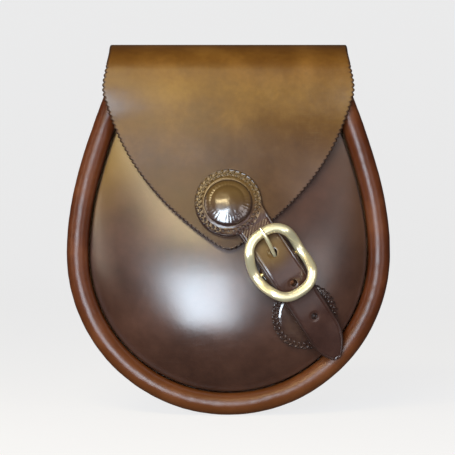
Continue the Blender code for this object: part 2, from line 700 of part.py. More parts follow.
def buckle(bar_frame):
    """The oval frame, saddled down at its sides to the centre bar, in the bar's frame."""
    stations, section = 44, 12
    rows = []
    for k in range(stations):
        turn = 2 * math.pi * k / stations
        c, s = math.cos(turn), math.sin(turn)
        along = FRAME_HALF_LENGTH * math.copysign(abs(c) ** (2 / FRAME_SQUARENESS), c)
        across = FRAME_HALF_WIDTH * math.copysign(abs(s) ** (2 / FRAME_SQUARENESS), s)
        power = FRAME_SQUARENESS - 1
        out = Vector((math.copysign(abs(along / FRAME_HALF_LENGTH) ** power, along) / FRAME_HALF_LENGTH,
                      math.copysign(abs(across / FRAME_HALF_WIDTH) ** power, across)
                      / FRAME_HALF_WIDTH, 0)).normalized()
        dip = max(1 - (along / FRAME_SADDLE_HALF_LENGTH) ** 2, 0) ** 2 * FRAME_SADDLE_DEPTH
        centre = Vector((along, across, FRAME_HEIGHT - dip - BAR_HEIGHT))
        angles = (2 * math.pi * j / section for j in range(section))
        rows.append([centre + out * FRAME_RIM * math.cos(a)
                     + Vector((0, 0, FRAME_THICKNESS * math.sin(a))) for a in angles])
    frame = add("buckle_frame", grid_mesh("buckle_frame", rows, True, True),
                (POLISHED_BRASS, 0.12, 1.0), bar_frame)
    across_axis = bar_frame.matrix_world @ Matrix.Rotation(math.radians(-90), 4, "X")
    socket = BAR_HALF_LENGTH + GAP
    cut(frame, round_cutter("bar_socket", BAR_RADIUS + GAP, -socket, socket, across_axis))
    bar = add("buckle_bar", turned_mesh("buckle_bar", [
        (0, BAR_HALF_LENGTH), (BAR_RADIUS, BAR_HALF_LENGTH), (BAR_RADIUS, -BAR_HALF_LENGTH),
        (0, -BAR_HALF_LENGTH)]), (POLISHED_BRASS, 0.3, 1.0), bar_frame)
    bar.matrix_local = Matrix.Rotation(math.radians(-90), 4, "X")


def tongue_line():
    """The tongue's route in the bar's frame: hooked round the bar, then up to rest on the rim."""
    hook = LOOP_INNER_RADIUS + TONGUE_RADIUS * TONGUE_HOOK_THINNING
    around = [Vector((hook * math.sin(a), 0, hook * math.cos(a)))
              for a in (math.radians(-280 + 280 * k / 14) for k in range(14))]
    rest = FRAME_HEIGHT + FRAME_THICKNESS + TONGUE_RADIUS + GAP - BAR_HEIGHT
    ends = ((0, hook), (-0.007, hook), (-0.014, rest + 0.0006), (TONGUE_TIP_ALONG, rest))
    rise = [bezier(ends, k / 14) for k in range(15)]
    return around, [Vector((p.x, 0, p.y)) for p in rise]


def tongue(bar_frame):
    """The brass tongue, one bent wire, thinner round the bar and at its tip."""
    around, rise = tongue_line()
    radii = [TONGUE_HOOK_THINNING] * (len(around) + 1)
    radii += [eased(((1, TONGUE_HOOK_THINNING), (5, 1.0), (12, 1.0), (14, 0.62)), k)
              for k in range(1, len(rise))]
    curve = tube_curve("buckle_tongue", around + rise, TONGUE_RADIUS, radii, sides=2)
    add("buckle_tongue", curve, (POLISHED_BRASS, 0.15, 1.0), bar_frame)


def main():
    """Builds the bag from the back to the buckle."""
    for thing in list(bpy.data.objects):
        bpy.data.objects.remove(thing, do_unlink=True)
    back = back_panel()
    gusset()
    panel = front_panel()
    piping()
    belt_loop(back)
    hinge = frame_empty("flap_hinge_line", Matrix.Translation((0, HINGE_Y, HINGE_UP - SLOT_UP)))
    seat = local_frame(panel_middle, 0, SEAT_ACROSS, HIDE / 2)
    bar_frame = frame_empty("buckle_bar_line", seat @ Matrix.Translation((0, 0, BAR_HEIGHT)))
    bpy.context.view_layer.update()
    chape(panel, seat)
    buckle(bar_frame)
    tongue(bar_frame)
    sheet = flap(hinge)
    path = [bar_frame.matrix_world @ p for p in tongue_line()[1]]
    strap = billet(hinge, path)
    boss(hinge, strap, sheet)


main()
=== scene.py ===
"""The looks of a moulded leather drum stick bag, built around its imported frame.

Metres, +Z up, the front faces -Y. Heights called "up" are measured from the bag's lowest
point. Every sub-assembly is a class with its sizes as fields; main() builds them in order.
"""

import logging
import math
from dataclasses import dataclass, field
from enum import Enum
from functools import cached_property
from typing import Any, Callable, Iterable, Optional, Sequence

import bmesh
import bpy
import numpy as np
from mathutils import Matrix, Vector, noise


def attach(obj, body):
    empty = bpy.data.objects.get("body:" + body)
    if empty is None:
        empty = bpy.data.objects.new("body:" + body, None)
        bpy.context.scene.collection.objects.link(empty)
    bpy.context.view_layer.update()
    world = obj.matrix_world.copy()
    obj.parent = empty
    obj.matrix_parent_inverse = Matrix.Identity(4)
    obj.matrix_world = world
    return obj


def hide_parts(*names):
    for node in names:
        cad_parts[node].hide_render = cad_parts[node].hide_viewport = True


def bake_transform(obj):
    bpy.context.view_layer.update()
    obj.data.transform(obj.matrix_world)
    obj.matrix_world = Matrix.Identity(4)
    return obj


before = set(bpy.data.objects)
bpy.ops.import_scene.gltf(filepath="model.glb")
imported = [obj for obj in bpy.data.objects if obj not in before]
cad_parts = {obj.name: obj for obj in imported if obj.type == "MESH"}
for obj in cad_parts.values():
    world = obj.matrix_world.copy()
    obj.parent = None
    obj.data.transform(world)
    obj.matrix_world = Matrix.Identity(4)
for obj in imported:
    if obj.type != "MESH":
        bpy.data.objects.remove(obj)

log = logging.getLogger("drum_stick_bag")
Colour = tuple[float, float, float]
Surface = Callable[[float, float], float]
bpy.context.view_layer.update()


class Body(str, Enum):
    """The bodies that a piece can ride on."""

    BAG = "bag"
    FLAP = "flap"
    BUCKLE = "buckle"
    TONGUE = "tongue"


class Slot(str, Enum):
    """The record's material slots."""

    FRONT = "front_leather"
    BODY = "body_leather"
    FLAP = "flap_leather"
    PIPING = "piping_leather"
    STRAP = "strap_leather"
    RAW = "raw_leather"
    FELT = "core_felt"
    BRASS = "polished_brass"
    COPPER = "copper"


# ---------------------------------------------------------------- numbers and curves

def smooth(t: float) -> float:
    """0 below 0, 1 above 1, and an even S between."""
    t = min(max(t, 0.0), 1.0)
    return t * t * (3 - 2 * t)


def hump(distance: float, width: float) -> float:
    """A bell of height 1 over a distance of 0."""
    return math.exp(-(distance / width) ** 2)


def bezier(points: Sequence[Sequence[float]], t: float) -> Vector:
    """A point on the cubic curve with these four control points."""
    weights = ((1 - t) ** 3, 3 * (1 - t) ** 2 * t, 3 * (1 - t) * t * t, t ** 3)
    return sum((w * Vector(p) for w, p in zip(weights, points)), Vector((0, 0)))


def reach(curve: Callable[[float], Vector], up: float) -> float:
    """Where a curve t -> (x, up) that rises all the way has this height."""
    low, high = 0.0, 1.0
    for _ in range(30):
        middle = (low + high) / 2
        low, high = (middle, high) if curve(middle).y < up else (low, middle)
    return low


def eased(stops: Sequence[tuple[float, float]], at: float) -> float:
    """A smooth line through (place, value) stops, level before the first and after the last."""
    if at <= stops[0][0]:
        return stops[0][1]
    for k, ((a, va), (b, vb)) in enumerate(zip(stops, stops[1:])):
        if at <= b:
            before, after = stops[max(k - 1, 0)], stops[min(k + 2, len(stops) - 1)]
            slope_a = (vb - before[1]) / (b - before[0]) * (b - a)
            slope_b = (after[1] - va) / (after[0] - a) * (b - a)
            t = (at - a) / (b - a)
            return (va * (2 * t ** 3 - 3 * t * t + 1) + slope_a * (t ** 3 - 2 * t * t + t)
                    + vb * (3 * t * t - 2 * t ** 3) + slope_b * (t ** 3 - t * t))
    return stops[-1][1]


def steps(first: float, last: float, count: int) -> list[float]:
    """Even steps from the first number to the last, both included."""
    return [first + (last - first) * k / count for k in range(count + 1)]


# ---------------------------------------------------------------- the bag's own shape

@dataclass
class BagForm:
    """The surfaces that all leather parts lie on, with their sizes."""

    gap: float = 0.0003
    slot_up: float = 0.190
    edge_radius: float = 0.1087
    edge_centre_up: float = 0.1084
    edge_top: tuple[float, float] = (0.073, 0.244)
    edge_top_lean: float = 0.37
    edge_bulge: float = 0.045
    edge_draw_in: float = 0.050
    mouth_up: float = 0.229
    hide: float = 0.003
    lining_hide: float = 0.0025
    chape_hide: float = 0.002
    back_rear_y: float = -0.003
    back_inset: float = 0.0045
    back_top_half_width: float = 0.0805
    piping_radius: float = 0.0075
    seam_depth_top: float = 0.030
    seam_splay: float = 0.0833
    seam_level_up: float = 0.240
    dome_height: float = 0.027
    dome_top_height: float = 0.006
    dome_sag: float = 0.58
    back_fold_up: float = 0.2377
    back_fold_radius: float = 0.0105
    front_fold_radius: float = 0.025
    fold_flat: float = 0.001
    flap_lean: float = math.radians(15.5)
    flap_straight_end_up: float = 0.195
    flap_meets_dome_up: float = 0.135
    flap_stand_off: float = 0.0024
    flap_side_height: float = 0.0095
    flap_shoulder_up: float = 0.212
    buckle_place: tuple[float, float] = (0.0334, 0.1009)
    strap_slope: float = math.radians(56.6)
    widths: list[float] = field(default_factory=list)

    def __post_init__(self) -> None:
        """Tables the half width once, because it is asked for very often."""
        self.width_step = (self.edge_top[1] - self.edge_centre_up) / 400
        self.widths = [self.side(reach(self.side, self.edge_centre_up + k * self.width_step)).x
                       for k in range(401)]

    @property
    def back_y(self) -> float:
        """The middle of the back hide."""
        return self.back_rear_y - self.hide / 2

    @property
    def hinge_y(self) -> float:
        """The hinge line's depth."""
        return self.back_y - self.back_fold_radius - self.fold_flat

    @property
    def hinge_up(self) -> float:
        """The hinge line's height, on the hide's outer face."""
        return self.back_fold_up + self.back_fold_radius + self.hide / 2

    def side(self, t: float, inset: float = 0.0) -> Vector:
        """The bag's right side, moved inwards, from the half circle (t=0) to the top."""
        top = Vector(self.edge_top)
        points = ((self.edge_radius, self.edge_centre_up),
                  (self.edge_radius, self.edge_centre_up + self.edge_bulge),
                  top + self.edge_draw_in * Vector((self.edge_top_lean, -1)), top)
        step = 1e-4
        run = (bezier(points, t + step) - bezier(points, t - step)).normalized()
        return bezier(points, t) + inset * Vector((-run.y, run.x))

    def half_edge(self, inset: float, top_up: float, arc: int,
                  sides: int) -> list[Vector]:
        """The right half of the bag's edge, from its lowest point to a height."""
        centre, radius = Vector((0, self.edge_centre_up)), self.edge_radius - inset
        turns = (math.pi / 2 * (k / arc - 1) for k in range(arc))
        points = [centre + radius * Vector((math.cos(a), math.sin(a))) for a in turns]
        end = reach(lambda t: self.side(t, inset), top_up)
        return points + [self.side(end * k / sides, inset) for k in range(sides + 1)]

    def whole_edge(self, inset: float, top_up: float, arc: int,
                   sides: int) -> list[Vector]:
        """The bag's edge from its upper left, round the bottom, to its upper right."""
        right = self.half_edge(inset, top_up, arc, sides)
        return [Vector((-p.x, p.y)) for p in reversed(right[1:])] + right

    def half_width(self, up: float) -> float:
        """Half the bag's width at a height above its half circle's centre."""
        at = min(max((up - self.edge_centre_up) / self.width_step, 0), 399.999)
        low = int(at)
        return self.widths[low] + (self.widths[low + 1] - self.widths[low]) * (at - low)

    def seam_y(self, up: float) -> float:
        """The plane in which the front and the piping are sewn to the side wall."""
        return -(self.seam_depth_top + self.seam_splay * (self.seam_level_up - up))

    def crown(self, up: float) -> float:
        """The dome's height over the seam plane on the middle line."""
        rise = smooth((up - self.edge_centre_up) / (self.seam_level_up - self.edge_centre_up))
        sag = 1 - self.dome_sag * (up - self.edge_centre_up) / self.edge_radius
        return (self.dome_height + (self.dome_top_height - self.dome_height) * rise) * sag

    def panel_middle(self, x: float, up: float) -> float:
        """The front panel's middle surface, as a Y for each (x, up)."""
        rim = 2 * self.piping_radius + self.gap
        if up < self.edge_centre_up:
            share = math.hypot(x, up - self.edge_centre_up) / (self.edge_radius - rim)
        else:
            share = abs(x) / (self.half_width(up) - rim)
        return self.seam_y(up) - self.crown(up) * max(1 - share * share, 0.0) ** 0.8

    def front_fold(self) -> tuple[Vector, Vector]:
        """(y, up) of the front fold's centre and of where it runs into the straight stretch."""
        centre = Vector((self.hinge_y - self.fold_flat,
                         self.hinge_up - self.hide / 2 - self.front_fold_radius))
        outwards = Vector((-math.cos(self.flap_lean), math.sin(self.flap_lean)))
        return centre, centre + self.front_fold_radius * outwards

    def flap_profile(self, up: float) -> float:
        """The flap's middle surface on the middle line: straight, then laid on the dome."""
        end = self.front_fold()[1]
        straight = end.x + (up - end.y) * math.tan(self.flap_lean)
        laid = self.panel_middle(0, up) - self.hide - self.flap_stand_off
        share = (self.flap_straight_end_up - up) / (self.flap_straight_end_up
                                                    - self.flap_meets_dome_up)
        return straight + (laid - straight) * smooth(share)

    def flap_middle(self, x: float, up: float, centre_y: Optional[float] = None) -> float:
        """The flap's middle surface, as a Y for each (x, up), falling back at its sides."""
        if centre_y is None:
            centre_y = self.flap_profile(up)
        flat_from, straight_end = self.front_fold()[1].y, self.flap_straight_end_up
        share = 1 - smooth((up - straight_end) / (flat_from - straight_end))
        if share == 0:
            return centre_y
        spare = self.seam_y(up) - centre_y - self.flap_side_height
        reach_x = self.edge_radius if up < self.edge_centre_up else self.half_width(up)
        return centre_y + share * spare * (x / reach_x) ** 2

    def in_front(self, surface: Surface, x: float, up: float, distance: float) -> Vector:
        """A point this far out of a surface, straight in front of (x, up)."""
        step = 1e-4
        slope_x = (surface(x + step, up) - surface(x - step, up)) / (2 * step)
        slope_z = (surface(x, up + step) - surface(x, up - step)) / (2 * step)
        y = surface(x, up) - distance * math.sqrt(1 + slope_x ** 2 + slope_z ** 2)
        return Vector((x, y, up - self.slot_up))

    def strap_place(self, along: float, across: float) -> tuple[float, float]:
        """(x, up) of a place on the strap: down it from the buckle's bar, and across it."""
        c, s = math.cos(self.strap_slope), math.sin(self.strap_slope)
        return (self.buckle_place[0] + along * c + across * s,
                self.buckle_place[1] - along * s + across * c)

    def local_frame(self, surface: Surface, along: float, across: float, distance: float) -> Matrix:
        """A frame on a surface: X down the strap, Y across it, Z out of the bag."""
        def at(a: float, b: float) -> Vector:
            """A point on the surface at a place on the strap."""
            return self.in_front(surface, *self.strap_place(a, b), distance)

        step = 1e-3
        x_axis = (at(along + step, across) - at(along - step, across)).normalized()
        y_axis = at(along, across + step) - at(along, across - step)
        z_axis = x_axis.cross(y_axis).normalized()
        y_axis = z_axis.cross(x_axis)
        turn = Matrix((x_axis, y_axis, z_axis)).transposed().to_4x4()
        return Matrix.Translation(at(along, across)) @ turn


# ---------------------------------------------------------------- shader maths

class Wire:
    """A number or colour on its way through a material, which sums and products can use."""

    def __init__(self, bench: "Bench", socket: bpy.types.NodeSocket) -> None:
        """Keeps the socket and the bench that it is on."""
        self.bench, self.socket = bench, socket

    def __add__(self, other: Any) -> "Wire":
        """The sum."""
        return self.bench.math("ADD", self, other)

    def __sub__(self, other: Any) -> "Wire":
        """The difference."""
        return self.bench.math("SUBTRACT", self, other)

    def __rsub__(self, other: Any) -> "Wire":
        """The difference the other way round."""
        return self.bench.math("SUBTRACT", other, self)

    __radd__ = __add__

    def __mul__(self, other: Any) -> "Wire":
        """The product."""
        return self.bench.math("MULTIPLY", self, other)

    __rmul__ = __mul__


class Bench:
    """One material's node tree, and the one method that puts nodes on it."""

    def __init__(self, name: str) -> None:
        """Starts a material with its Principled shader."""
        self.material = bpy.data.materials.new(name)
        self.material.use_nodes = True
        self.tree = self.material.node_tree
        self.shader = self.tree.nodes["Principled BSDF"]
        self.places = Wire(self, self.tree.nodes.new("ShaderNodeTexCoord").outputs["Object"])

    def node(self, kind: str, settings: dict[str, Any], inputs: dict[Any, Any],
             output: Any = 0) -> Wire:
        """Adds a node.

        Args:
            kind: the node's type, without "ShaderNode".
            settings: its own settings; "stops" are a ramp's (position, colour) pairs.
            inputs: its sockets' values or wires, by name, identifier or number.
            output: which output is wanted.

        Returns:
            The wanted output.
        """
        made = self.tree.nodes.new("ShaderNode" + kind)
        for key, value in settings.items():
            if key == "stops":
                ramp = made.color_ramp.elements
                while len(ramp) < len(value):
                    ramp.new(0.5)
                for element, (place, colour) in zip(ramp, value):
                    element.position, element.color = place, (*colour, 1)
            else:
                setattr(made, key, value)
        by_name = {s.identifier: s for s in made.inputs} | {
            s.name: s for s in reversed(made.inputs) if s.enabled}
        for key, value in inputs.items():
            socket = made.inputs[key] if isinstance(key, int) else by_name[key]
            self.feed(socket, value)
        outputs = {s.identifier: s for s in made.outputs} | {
            s.name: s for s in reversed(made.outputs) if s.enabled}
        return Wire(self, made.outputs[output] if isinstance(output, int) else outputs[output])

    def feed(self, socket: bpy.types.NodeSocket, value: Any) -> None:
        """Links a wire to a socket, or sets the socket's value."""
        if isinstance(value, Wire):
            self.tree.links.new(value.socket, socket)
        elif isinstance(value, tuple) and socket.type == "RGBA":
            socket.default_value = (*value, 1)
        else:
            socket.default_value = value

    def math(self, operation: str, one: Any, two: Any) -> Wire:
        """A Math node's result."""
        return self.node("Math", {"operation": operation}, {0: one, 1: two})

    def mix(self, share: Any, one: Any, two: Any, blend: str = "MIX") -> Wire:
        """Two colours mixed by a share from 0 to 1."""
        return self.node("Mix", {"data_type": "RGBA", "blend_type": blend},
                         {"Factor_Float": share, "A_Color": one, "B_Color": two}, "Result_Color")

    def noise(self, scale: float, detail: float = 3.0, stretch: Optional[tuple] = None,
              turn: tuple = (0.0, 0.0, 0.0)) -> Wire:
        """Fractal noise over the piece, from 0 to 1."""
        at = self.places
        if stretch:
            at = self.node("Mapping", {}, {"Vector": at, "Scale": stretch, "Rotation": turn})
        return self.node("TexNoise", {}, {"Vector": at, "Scale": scale, "Detail": detail})

    def level(self, value: Wire, low: float, high: float) -> Wire:
        """0 below the low value, 1 above the high one, and an even S between."""
        return self.node("MapRange", {"interpolation_type": "SMOOTHSTEP"},
                         {"Value": value, "From Min": low, "From Max": high})

    def attribute(self, name: str) -> Wire:
        """A number stored on the mesh's points."""
        return self.node("Attribute", {"attribute_name": name}, {}, "Fac")

    def axis(self, name: str) -> Wire:
        """X, Y or Z of the piece's own places."""
        return self.node("SeparateXYZ", {}, {0: self.places}, name)

    def bump(self, height: Wire, distance: float, strength: float,
             over: Optional[Wire] = None) -> Wire:
        """A surface normal from a height, on top of another where one is given."""
        inputs = {"Height": height, "Distance": distance, "Strength": strength}
        return self.node("Bump", {}, inputs | ({"Normal": over} if over else {}))

    def finish(self, **sockets: Any) -> bpy.types.Material:
        """Sets the shader's sockets, whose names are given with _ for a space.

        Args:
            sockets: values or wires.

        Returns:
            The material.
        """
        for name, value in sockets.items():
            self.feed(self.shader.inputs[name.replace("_", " ")], value)
        return self.material


# ---------------------------------------------------------------- finishes

class Shade(Enum):
    """How a hide's colour changes over the bag, apart from its mottling: painted highlights,
    reflections and shade on the flap, panel and strap, and a more orange bottom on the piping.
    """

    EVEN = "even"
    FLAP = "flap"
    PANEL = "panel"
    PIPING = "piping"
    STRAP = "strap"
    TOOLED = "tooled"


# Painted reflection of the yellowish overhead light, for the panel's upper left.
PAINTED_PANEL_REFLECTION: Colour = (0.235, 0.132, 0.014)
# Painted light, a lighter brown for the panel's right side.
PAINTED_LIGHT_RIGHT_SIDE: Colour = (0.070, 0.030, 0.010)
# Painted sheen, pale and greyish, for the flap's lower right.
PAINTED_SHEEN: Colour = (0.140, 0.092, 0.072)
CHESTNUT: Colour = (0.105, 0.034, 0.007)
# Painted reflection of the yellowish overhead light, for the upper strap and boss and round the
# tongue's hole.
PAINTED_STRAP_REFLECTION: Colour = (0.120, 0.068, 0.014)
CUT: Colour = (0.022, 0.009, 0.006)
TONGUE_HOLE = (0.0275, -0.0795, -0.0800)
# Factors on the flap's colour from its tip to its fold: a bright painted highlight band near the
# fold, darker towards the tip.
FLAP_PAINTED_HIGHLIGHT_FROM_TIP_TO_FOLD = (
    (0.0, (0.42, 0.29, 0.27)), (0.28, (0.62, 0.46, 0.40)), (0.52, (0.88, 0.72, 0.50)),
    (0.76, (1.48, 1.34, 0.62)), (0.88, (1.36, 1.08, 0.56)), (1.0, (1.22, 0.94, 0.60)))


@dataclass(frozen=True)
class GrainLeather:
    """The dressed outer side of a hide: mottled dye, pores, fine scratches, dark cut edges, and
    painted highlights, reflections and shade on some pieces.
    """

    name: str
    dark: Colour
    mid: Colour
    light: Colour
    edge: Colour
    roughness: float = 0.34
    coat: float = 0.25
    pores: float = 0.25
    shade: Shade = Shade.EVEN
    coat_roughness: float = 0.22
    specular: float = 0.42

    def painted_light_and_tone(self, bench: Bench, colour: Wire) -> Wire:
        """The piece's slow colour changes: painted highlights, reflections and shade over the dye,
        and a more orange bottom on the piping.

        Args:
            bench: the material's bench.
            colour: the mottled dye.

        Returns:
            The dye with painted highlights, reflections and shade over it, or, on the piping, more
            orange towards the bottom.
        """
        x, z = bench.axis("X"), bench.axis("Z")
        drift = bench.noise(16, 2) - 0.5
        # The flap gets its painted highlight band and a painted sheen on its lower right.
        if self.shade is Shade.FLAP:
            at = bench.node("MapRange", {}, {"Value": z + drift * 0.022,
                                             "From Min": -0.080, "From Max": 0.062})
            flap_painted_light = bench.node("ValToRGB", {"stops": FLAP_PAINTED_HIGHLIGHT_FROM_TIP_TO_FOLD}, {0: at})
            colour = bench.mix(1.0, colour, flap_painted_light, "MULTIPLY")
            painted_sheen_mask = (bench.level(x + drift * 0.03, 0.018, 0.062)
                      * bench.level(z, 0.000, -0.045))
            return bench.mix(painted_sheen_mask * 0.60, colour, PAINTED_SHEEN)
        # The panel gets a painted reflection on its upper left and painted light on its right side.
        if self.shade is Shade.PANEL:
            painted_reflection_mask = bench.level(z * 0.75 - x * 0.62 + drift * 0.05, -0.006, 0.060)
            painted_light_right_mask = bench.level(x + z * 0.35 + drift * 0.03, 0.040, 0.085)
            colour = bench.mix(painted_light_right_mask * 0.60, colour, PAINTED_LIGHT_RIGHT_SIDE)
            return bench.mix(painted_reflection_mask * 0.85, colour, PAINTED_PANEL_REFLECTION)
        if self.shade is Shade.PIPING:
            low = bench.level(z + drift * 0.04, -0.105, -0.182)
            return bench.mix(low * 0.5, colour, CHESTNUT)
        # The strap, boss and chape get a painted reflection on their upper parts, and the strap
        # round the tongue's hole.
        if self.shade in (Shade.STRAP, Shade.TOOLED):
            low = -0.062 if self.shade is Shade.STRAP else -0.060
            strap_painted_reflection = bench.level(z, low, -0.040)
            if self.shade is Shade.STRAP:
                away = bench.node("VectorMath", {"operation": "DISTANCE"},
                                  {0: bench.places, 1: TONGUE_HOLE}, "Value")
                strap_painted_reflection = bench.math("MAXIMUM", bench.level(away, 0.018, 0.004), strap_painted_reflection)
            return bench.mix(strap_painted_reflection * 0.62, colour, PAINTED_STRAP_REFLECTION)
        return colour

    def material(self) -> bpy.types.Material:
        """Builds the finish.

        Returns:
            A material that reads object coordinates and the piece's edge distance.
        """
        bench = Bench(self.name)
        cloud = bench.noise(34, 5)
        fleck = bench.noise(260, 4)
        base = bench.node("ValToRGB", {"stops": (
            (0.30, self.dark), (0.50, self.mid), (0.72, self.light))},
            {0: cloud * 0.78 + fleck * 0.22})
        colour = self.painted_light_and_tone(bench, base)
        worn = bench.attribute("edge")
        burnish = bench.level(worn + (bench.noise(420, 2) - 0.5) * 0.0011, 0.0022, 0.0004)
        colour = bench.mix(burnish * 0.85, colour, self.edge)
        lines = [bench.noise(70, 2, stretch, turn) for stretch, turn in (
            ((1, 1, 34), (0.3, 0.9, 0.2)), ((30, 1, 1), (0.1, 0.35, 0.8)),
            ((1, 1, 26), (0.9, -0.7, 0.5)))]
        scratch = bench.level(bench.math("MAXIMUM", bench.math("MAXIMUM", *lines[:2]), lines[2]),
                              0.665, 0.70) * bench.level(bench.noise(22, 2), 0.45, 0.62)
        colour = bench.mix(scratch * 0.30, colour, self.light)
        cells = bench.node("TexVoronoi", {"feature": "DISTANCE_TO_EDGE"},
                           {"Vector": bench.places, "Scale": 1100.0}, "Distance")
        grain = bench.math("MINIMUM", cells * 3.0, 1.0) * 0.6 + bench.noise(900, 3) * 0.4
        slow = bench.bump(bench.noise(48, 3), 0.0012, 0.30)
        normal = bench.bump(grain - scratch * 0.8, 0.00012, self.pores, slow)
        rough = (cloud - 0.5) * 0.22 + self.roughness + scratch * 0.12 + burnish * 0.10
        return bench.finish(Base_Color=colour, Roughness=rough, Normal=normal,
                            Coat_Weight=self.coat, Coat_Roughness=self.coat_roughness,
                            Specular_IOR_Level=self.specular)


@dataclass(frozen=True)
class FleshLeather:
    """The undressed inner side of a hide: pale, matt and fibrous."""

    name: str
    dark: Colour = (0.20, 0.115, 0.062)
    light: Colour = (0.40, 0.26, 0.15)

    def material(self) -> bpy.types.Material:
        """Builds the finish."""
        bench = Bench(self.name)
        fibre = bench.noise(240, 5, (1, 1, 3.5), (0.2, 0.4, 0.1))
        cloud = bench.noise(42, 3)
        colour = bench.node("ValToRGB", {"stops": ((0.32, self.dark), (0.70, self.light))},
                            {0: fibre * 0.55 + cloud * 0.45})
        return bench.finish(Base_Color=colour, Roughness=0.92,
                            Normal=bench.bump(fibre, 0.0004, 0.55), Sheen_Weight=0.15)


@dataclass(frozen=True)
class CutEdge:
    """A burnished cut edge: dark, waxed, with the hide's layers showing faintly."""

    name: str
    colour: Colour = (0.030, 0.012, 0.007)

    def material(self) -> bpy.types.Material:
        """Builds the finish."""
        bench = Bench(self.name)
        layers = bench.noise(500, 4)
        lighter = tuple(min(c * 2.6, 1.0) for c in self.colour)
        colour = bench.mix(bench.level(layers, 0.42, 0.72), self.colour, lighter)
        return bench.finish(Base_Color=colour, Roughness=0.45 + layers * 0.2,
                            Normal=bench.bump(layers, 0.0002, 0.4))


@dataclass(frozen=True)
class Metal:
    """Polished metal with fine wiping marks, and a duller, darker film where hands don't reach."""

    name: str
    bright: Colour
    dull: Colour
    roughness: float
    metallic: float = 1.0

    def material(self) -> bpy.types.Material:
        """Builds the finish."""
        bench = Bench(self.name)
        cloud = bench.noise(120, 4)
        marks = bench.noise(300, 3, (1, 1, 22), (0.4, 0.6, 0.2))
        film = bench.level(cloud, 0.52, 0.80)
        colour = bench.mix(film * 0.55, self.bright, self.dull)
        rough = self.roughness + film * 0.16 + bench.level(marks, 0.5, 0.75) * 0.08
        return bench.finish(Base_Color=colour, Metallic=self.metallic, Roughness=rough,
                            Normal=bench.bump(marks, 0.00005, 0.04))


@dataclass(frozen=True)
class Thread:
    """Waxed linen thread, twisted."""

    name: str
    dark: Colour = (0.20, 0.125, 0.055)
    light: Colour = (0.52, 0.38, 0.20)

    def material(self) -> bpy.types.Material:
        """Builds the finish."""
        bench = Bench(self.name)
        twist = bench.node("TexWave", {"bands_direction": "DIAGONAL"},
                           {"Vector": bench.places, "Scale": 420.0, "Distortion": 1.2}, "Fac")
        colour = bench.mix(twist, self.dark, self.light)
        return bench.finish(Base_Color=colour, Roughness=0.62,
                            Normal=bench.bump(twist, 0.0002, 0.5))


@dataclass(frozen=True)
class Felt:
    """The wool core in the rolled edge."""

    name: str

    def material(self) -> bpy.types.Material:
        """Builds the finish."""
        bench = Bench(self.name)
        fibre = bench.noise(700, 5)
        colour = bench.mix(fibre, (0.30, 0.26, 0.21), (0.55, 0.50, 0.42))
        return bench.finish(Base_Color=colour, Roughness=0.95,
                            Normal=bench.bump(fibre, 0.0005, 0.6))


class Finishes:
    """All finishes of the bag, each built once."""

    def __init__(self) -> None:
        """Builds the materials."""
        self.panel = GrainLeather(
            "plum_brown_hide", dark=(0.026, 0.0090, 0.0050), mid=(0.043, 0.0160, 0.0088),
            light=(0.066, 0.026, 0.015), edge=CUT, roughness=0.36, coat=0.75, pores=0.20,
            shade=Shade.PANEL, coat_roughness=0.29).material()
        self.flap = GrainLeather(
            "antique_tan_hide", dark=(0.054, 0.025, 0.006), mid=(0.080, 0.041, 0.010),
            light=(0.122, 0.069, 0.020), edge=CUT, roughness=0.38, coat=0.0, pores=0.22,
            shade=Shade.FLAP, coat_roughness=0.25, specular=0.32).material()
        self.body = GrainLeather(
            "dark_brown_hide", dark=(0.045, 0.018, 0.011), mid=(0.075, 0.031, 0.017),
            light=(0.120, 0.055, 0.030), edge=CUT, roughness=0.48, coat=0.10,
            pores=0.30).material()
        self.piping = GrainLeather(
            "chestnut_roll", dark=(0.048, 0.0105, 0.0030), mid=(0.078, 0.0190, 0.0050),
            light=(0.125, 0.038, 0.012), edge=(0.030, 0.010, 0.005), roughness=0.36,
            coat=0.05, pores=0.16, shade=Shade.PIPING, coat_roughness=0.30,
            specular=0.28).material()
        self.strap = GrainLeather(
            "bridle_leather", dark=(0.023, 0.0088, 0.0064), mid=(0.038, 0.0148, 0.0105),
            light=(0.062, 0.027, 0.018), edge=CUT, roughness=0.34, coat=0.22, pores=0.20,
            shade=Shade.STRAP).material()
        self.tooled = GrainLeather(
            "tooled_leather", dark=(0.015, 0.0058, 0.0040), mid=(0.028, 0.0110, 0.0075),
            light=(0.062, 0.031, 0.019), edge=CUT, roughness=0.28, coat=0.90, pores=0.18,
            shade=Shade.TOOLED, coat_roughness=0.17, specular=0.5).material()
        self.beaded = GrainLeather(
            "beaded_leather", dark=(0.013, 0.0050, 0.0035), mid=(0.024, 0.0095, 0.0065),
            light=(0.054, 0.027, 0.017), edge=CUT, roughness=0.42, coat=0.10, pores=0.18,
            shade=Shade.TOOLED, coat_roughness=0.30, specular=0.35).material()
        self.flesh = FleshLeather("flesh_side").material()
        self.raw = FleshLeather("undyed_flesh_side", dark=(0.26, 0.17, 0.10),
                                light=(0.48, 0.34, 0.21)).material()
        self.edge = CutEdge("burnished_edge").material()
        self.brass = Metal("polished_brass", bright=(0.95, 0.86, 0.56), dull=(0.78, 0.63, 0.30),
                           roughness=0.33, metallic=0.80).material()
        # A darker copy of the brass for the centre bar: painted shade.
        self.dull_brass = Metal("dull_brass", bright=(0.36, 0.27, 0.12),
                                dull=(0.16, 0.11, 0.05), roughness=0.42).material()
        self.copper = Metal("copper", bright=(0.80, 0.42, 0.26), dull=(0.40, 0.17, 0.10),
                            roughness=0.24).material()
        # A darker copy of the copper for the rivets under the boss and the strap: painted shade.
        self.dark_copper = Metal("dark_copper", bright=(0.20, 0.09, 0.05),
                                 dull=(0.08, 0.04, 0.025), roughness=0.45).material()
        self.thread = Thread("waxed_thread").material()
        self.felt = Felt("wool_core").material()


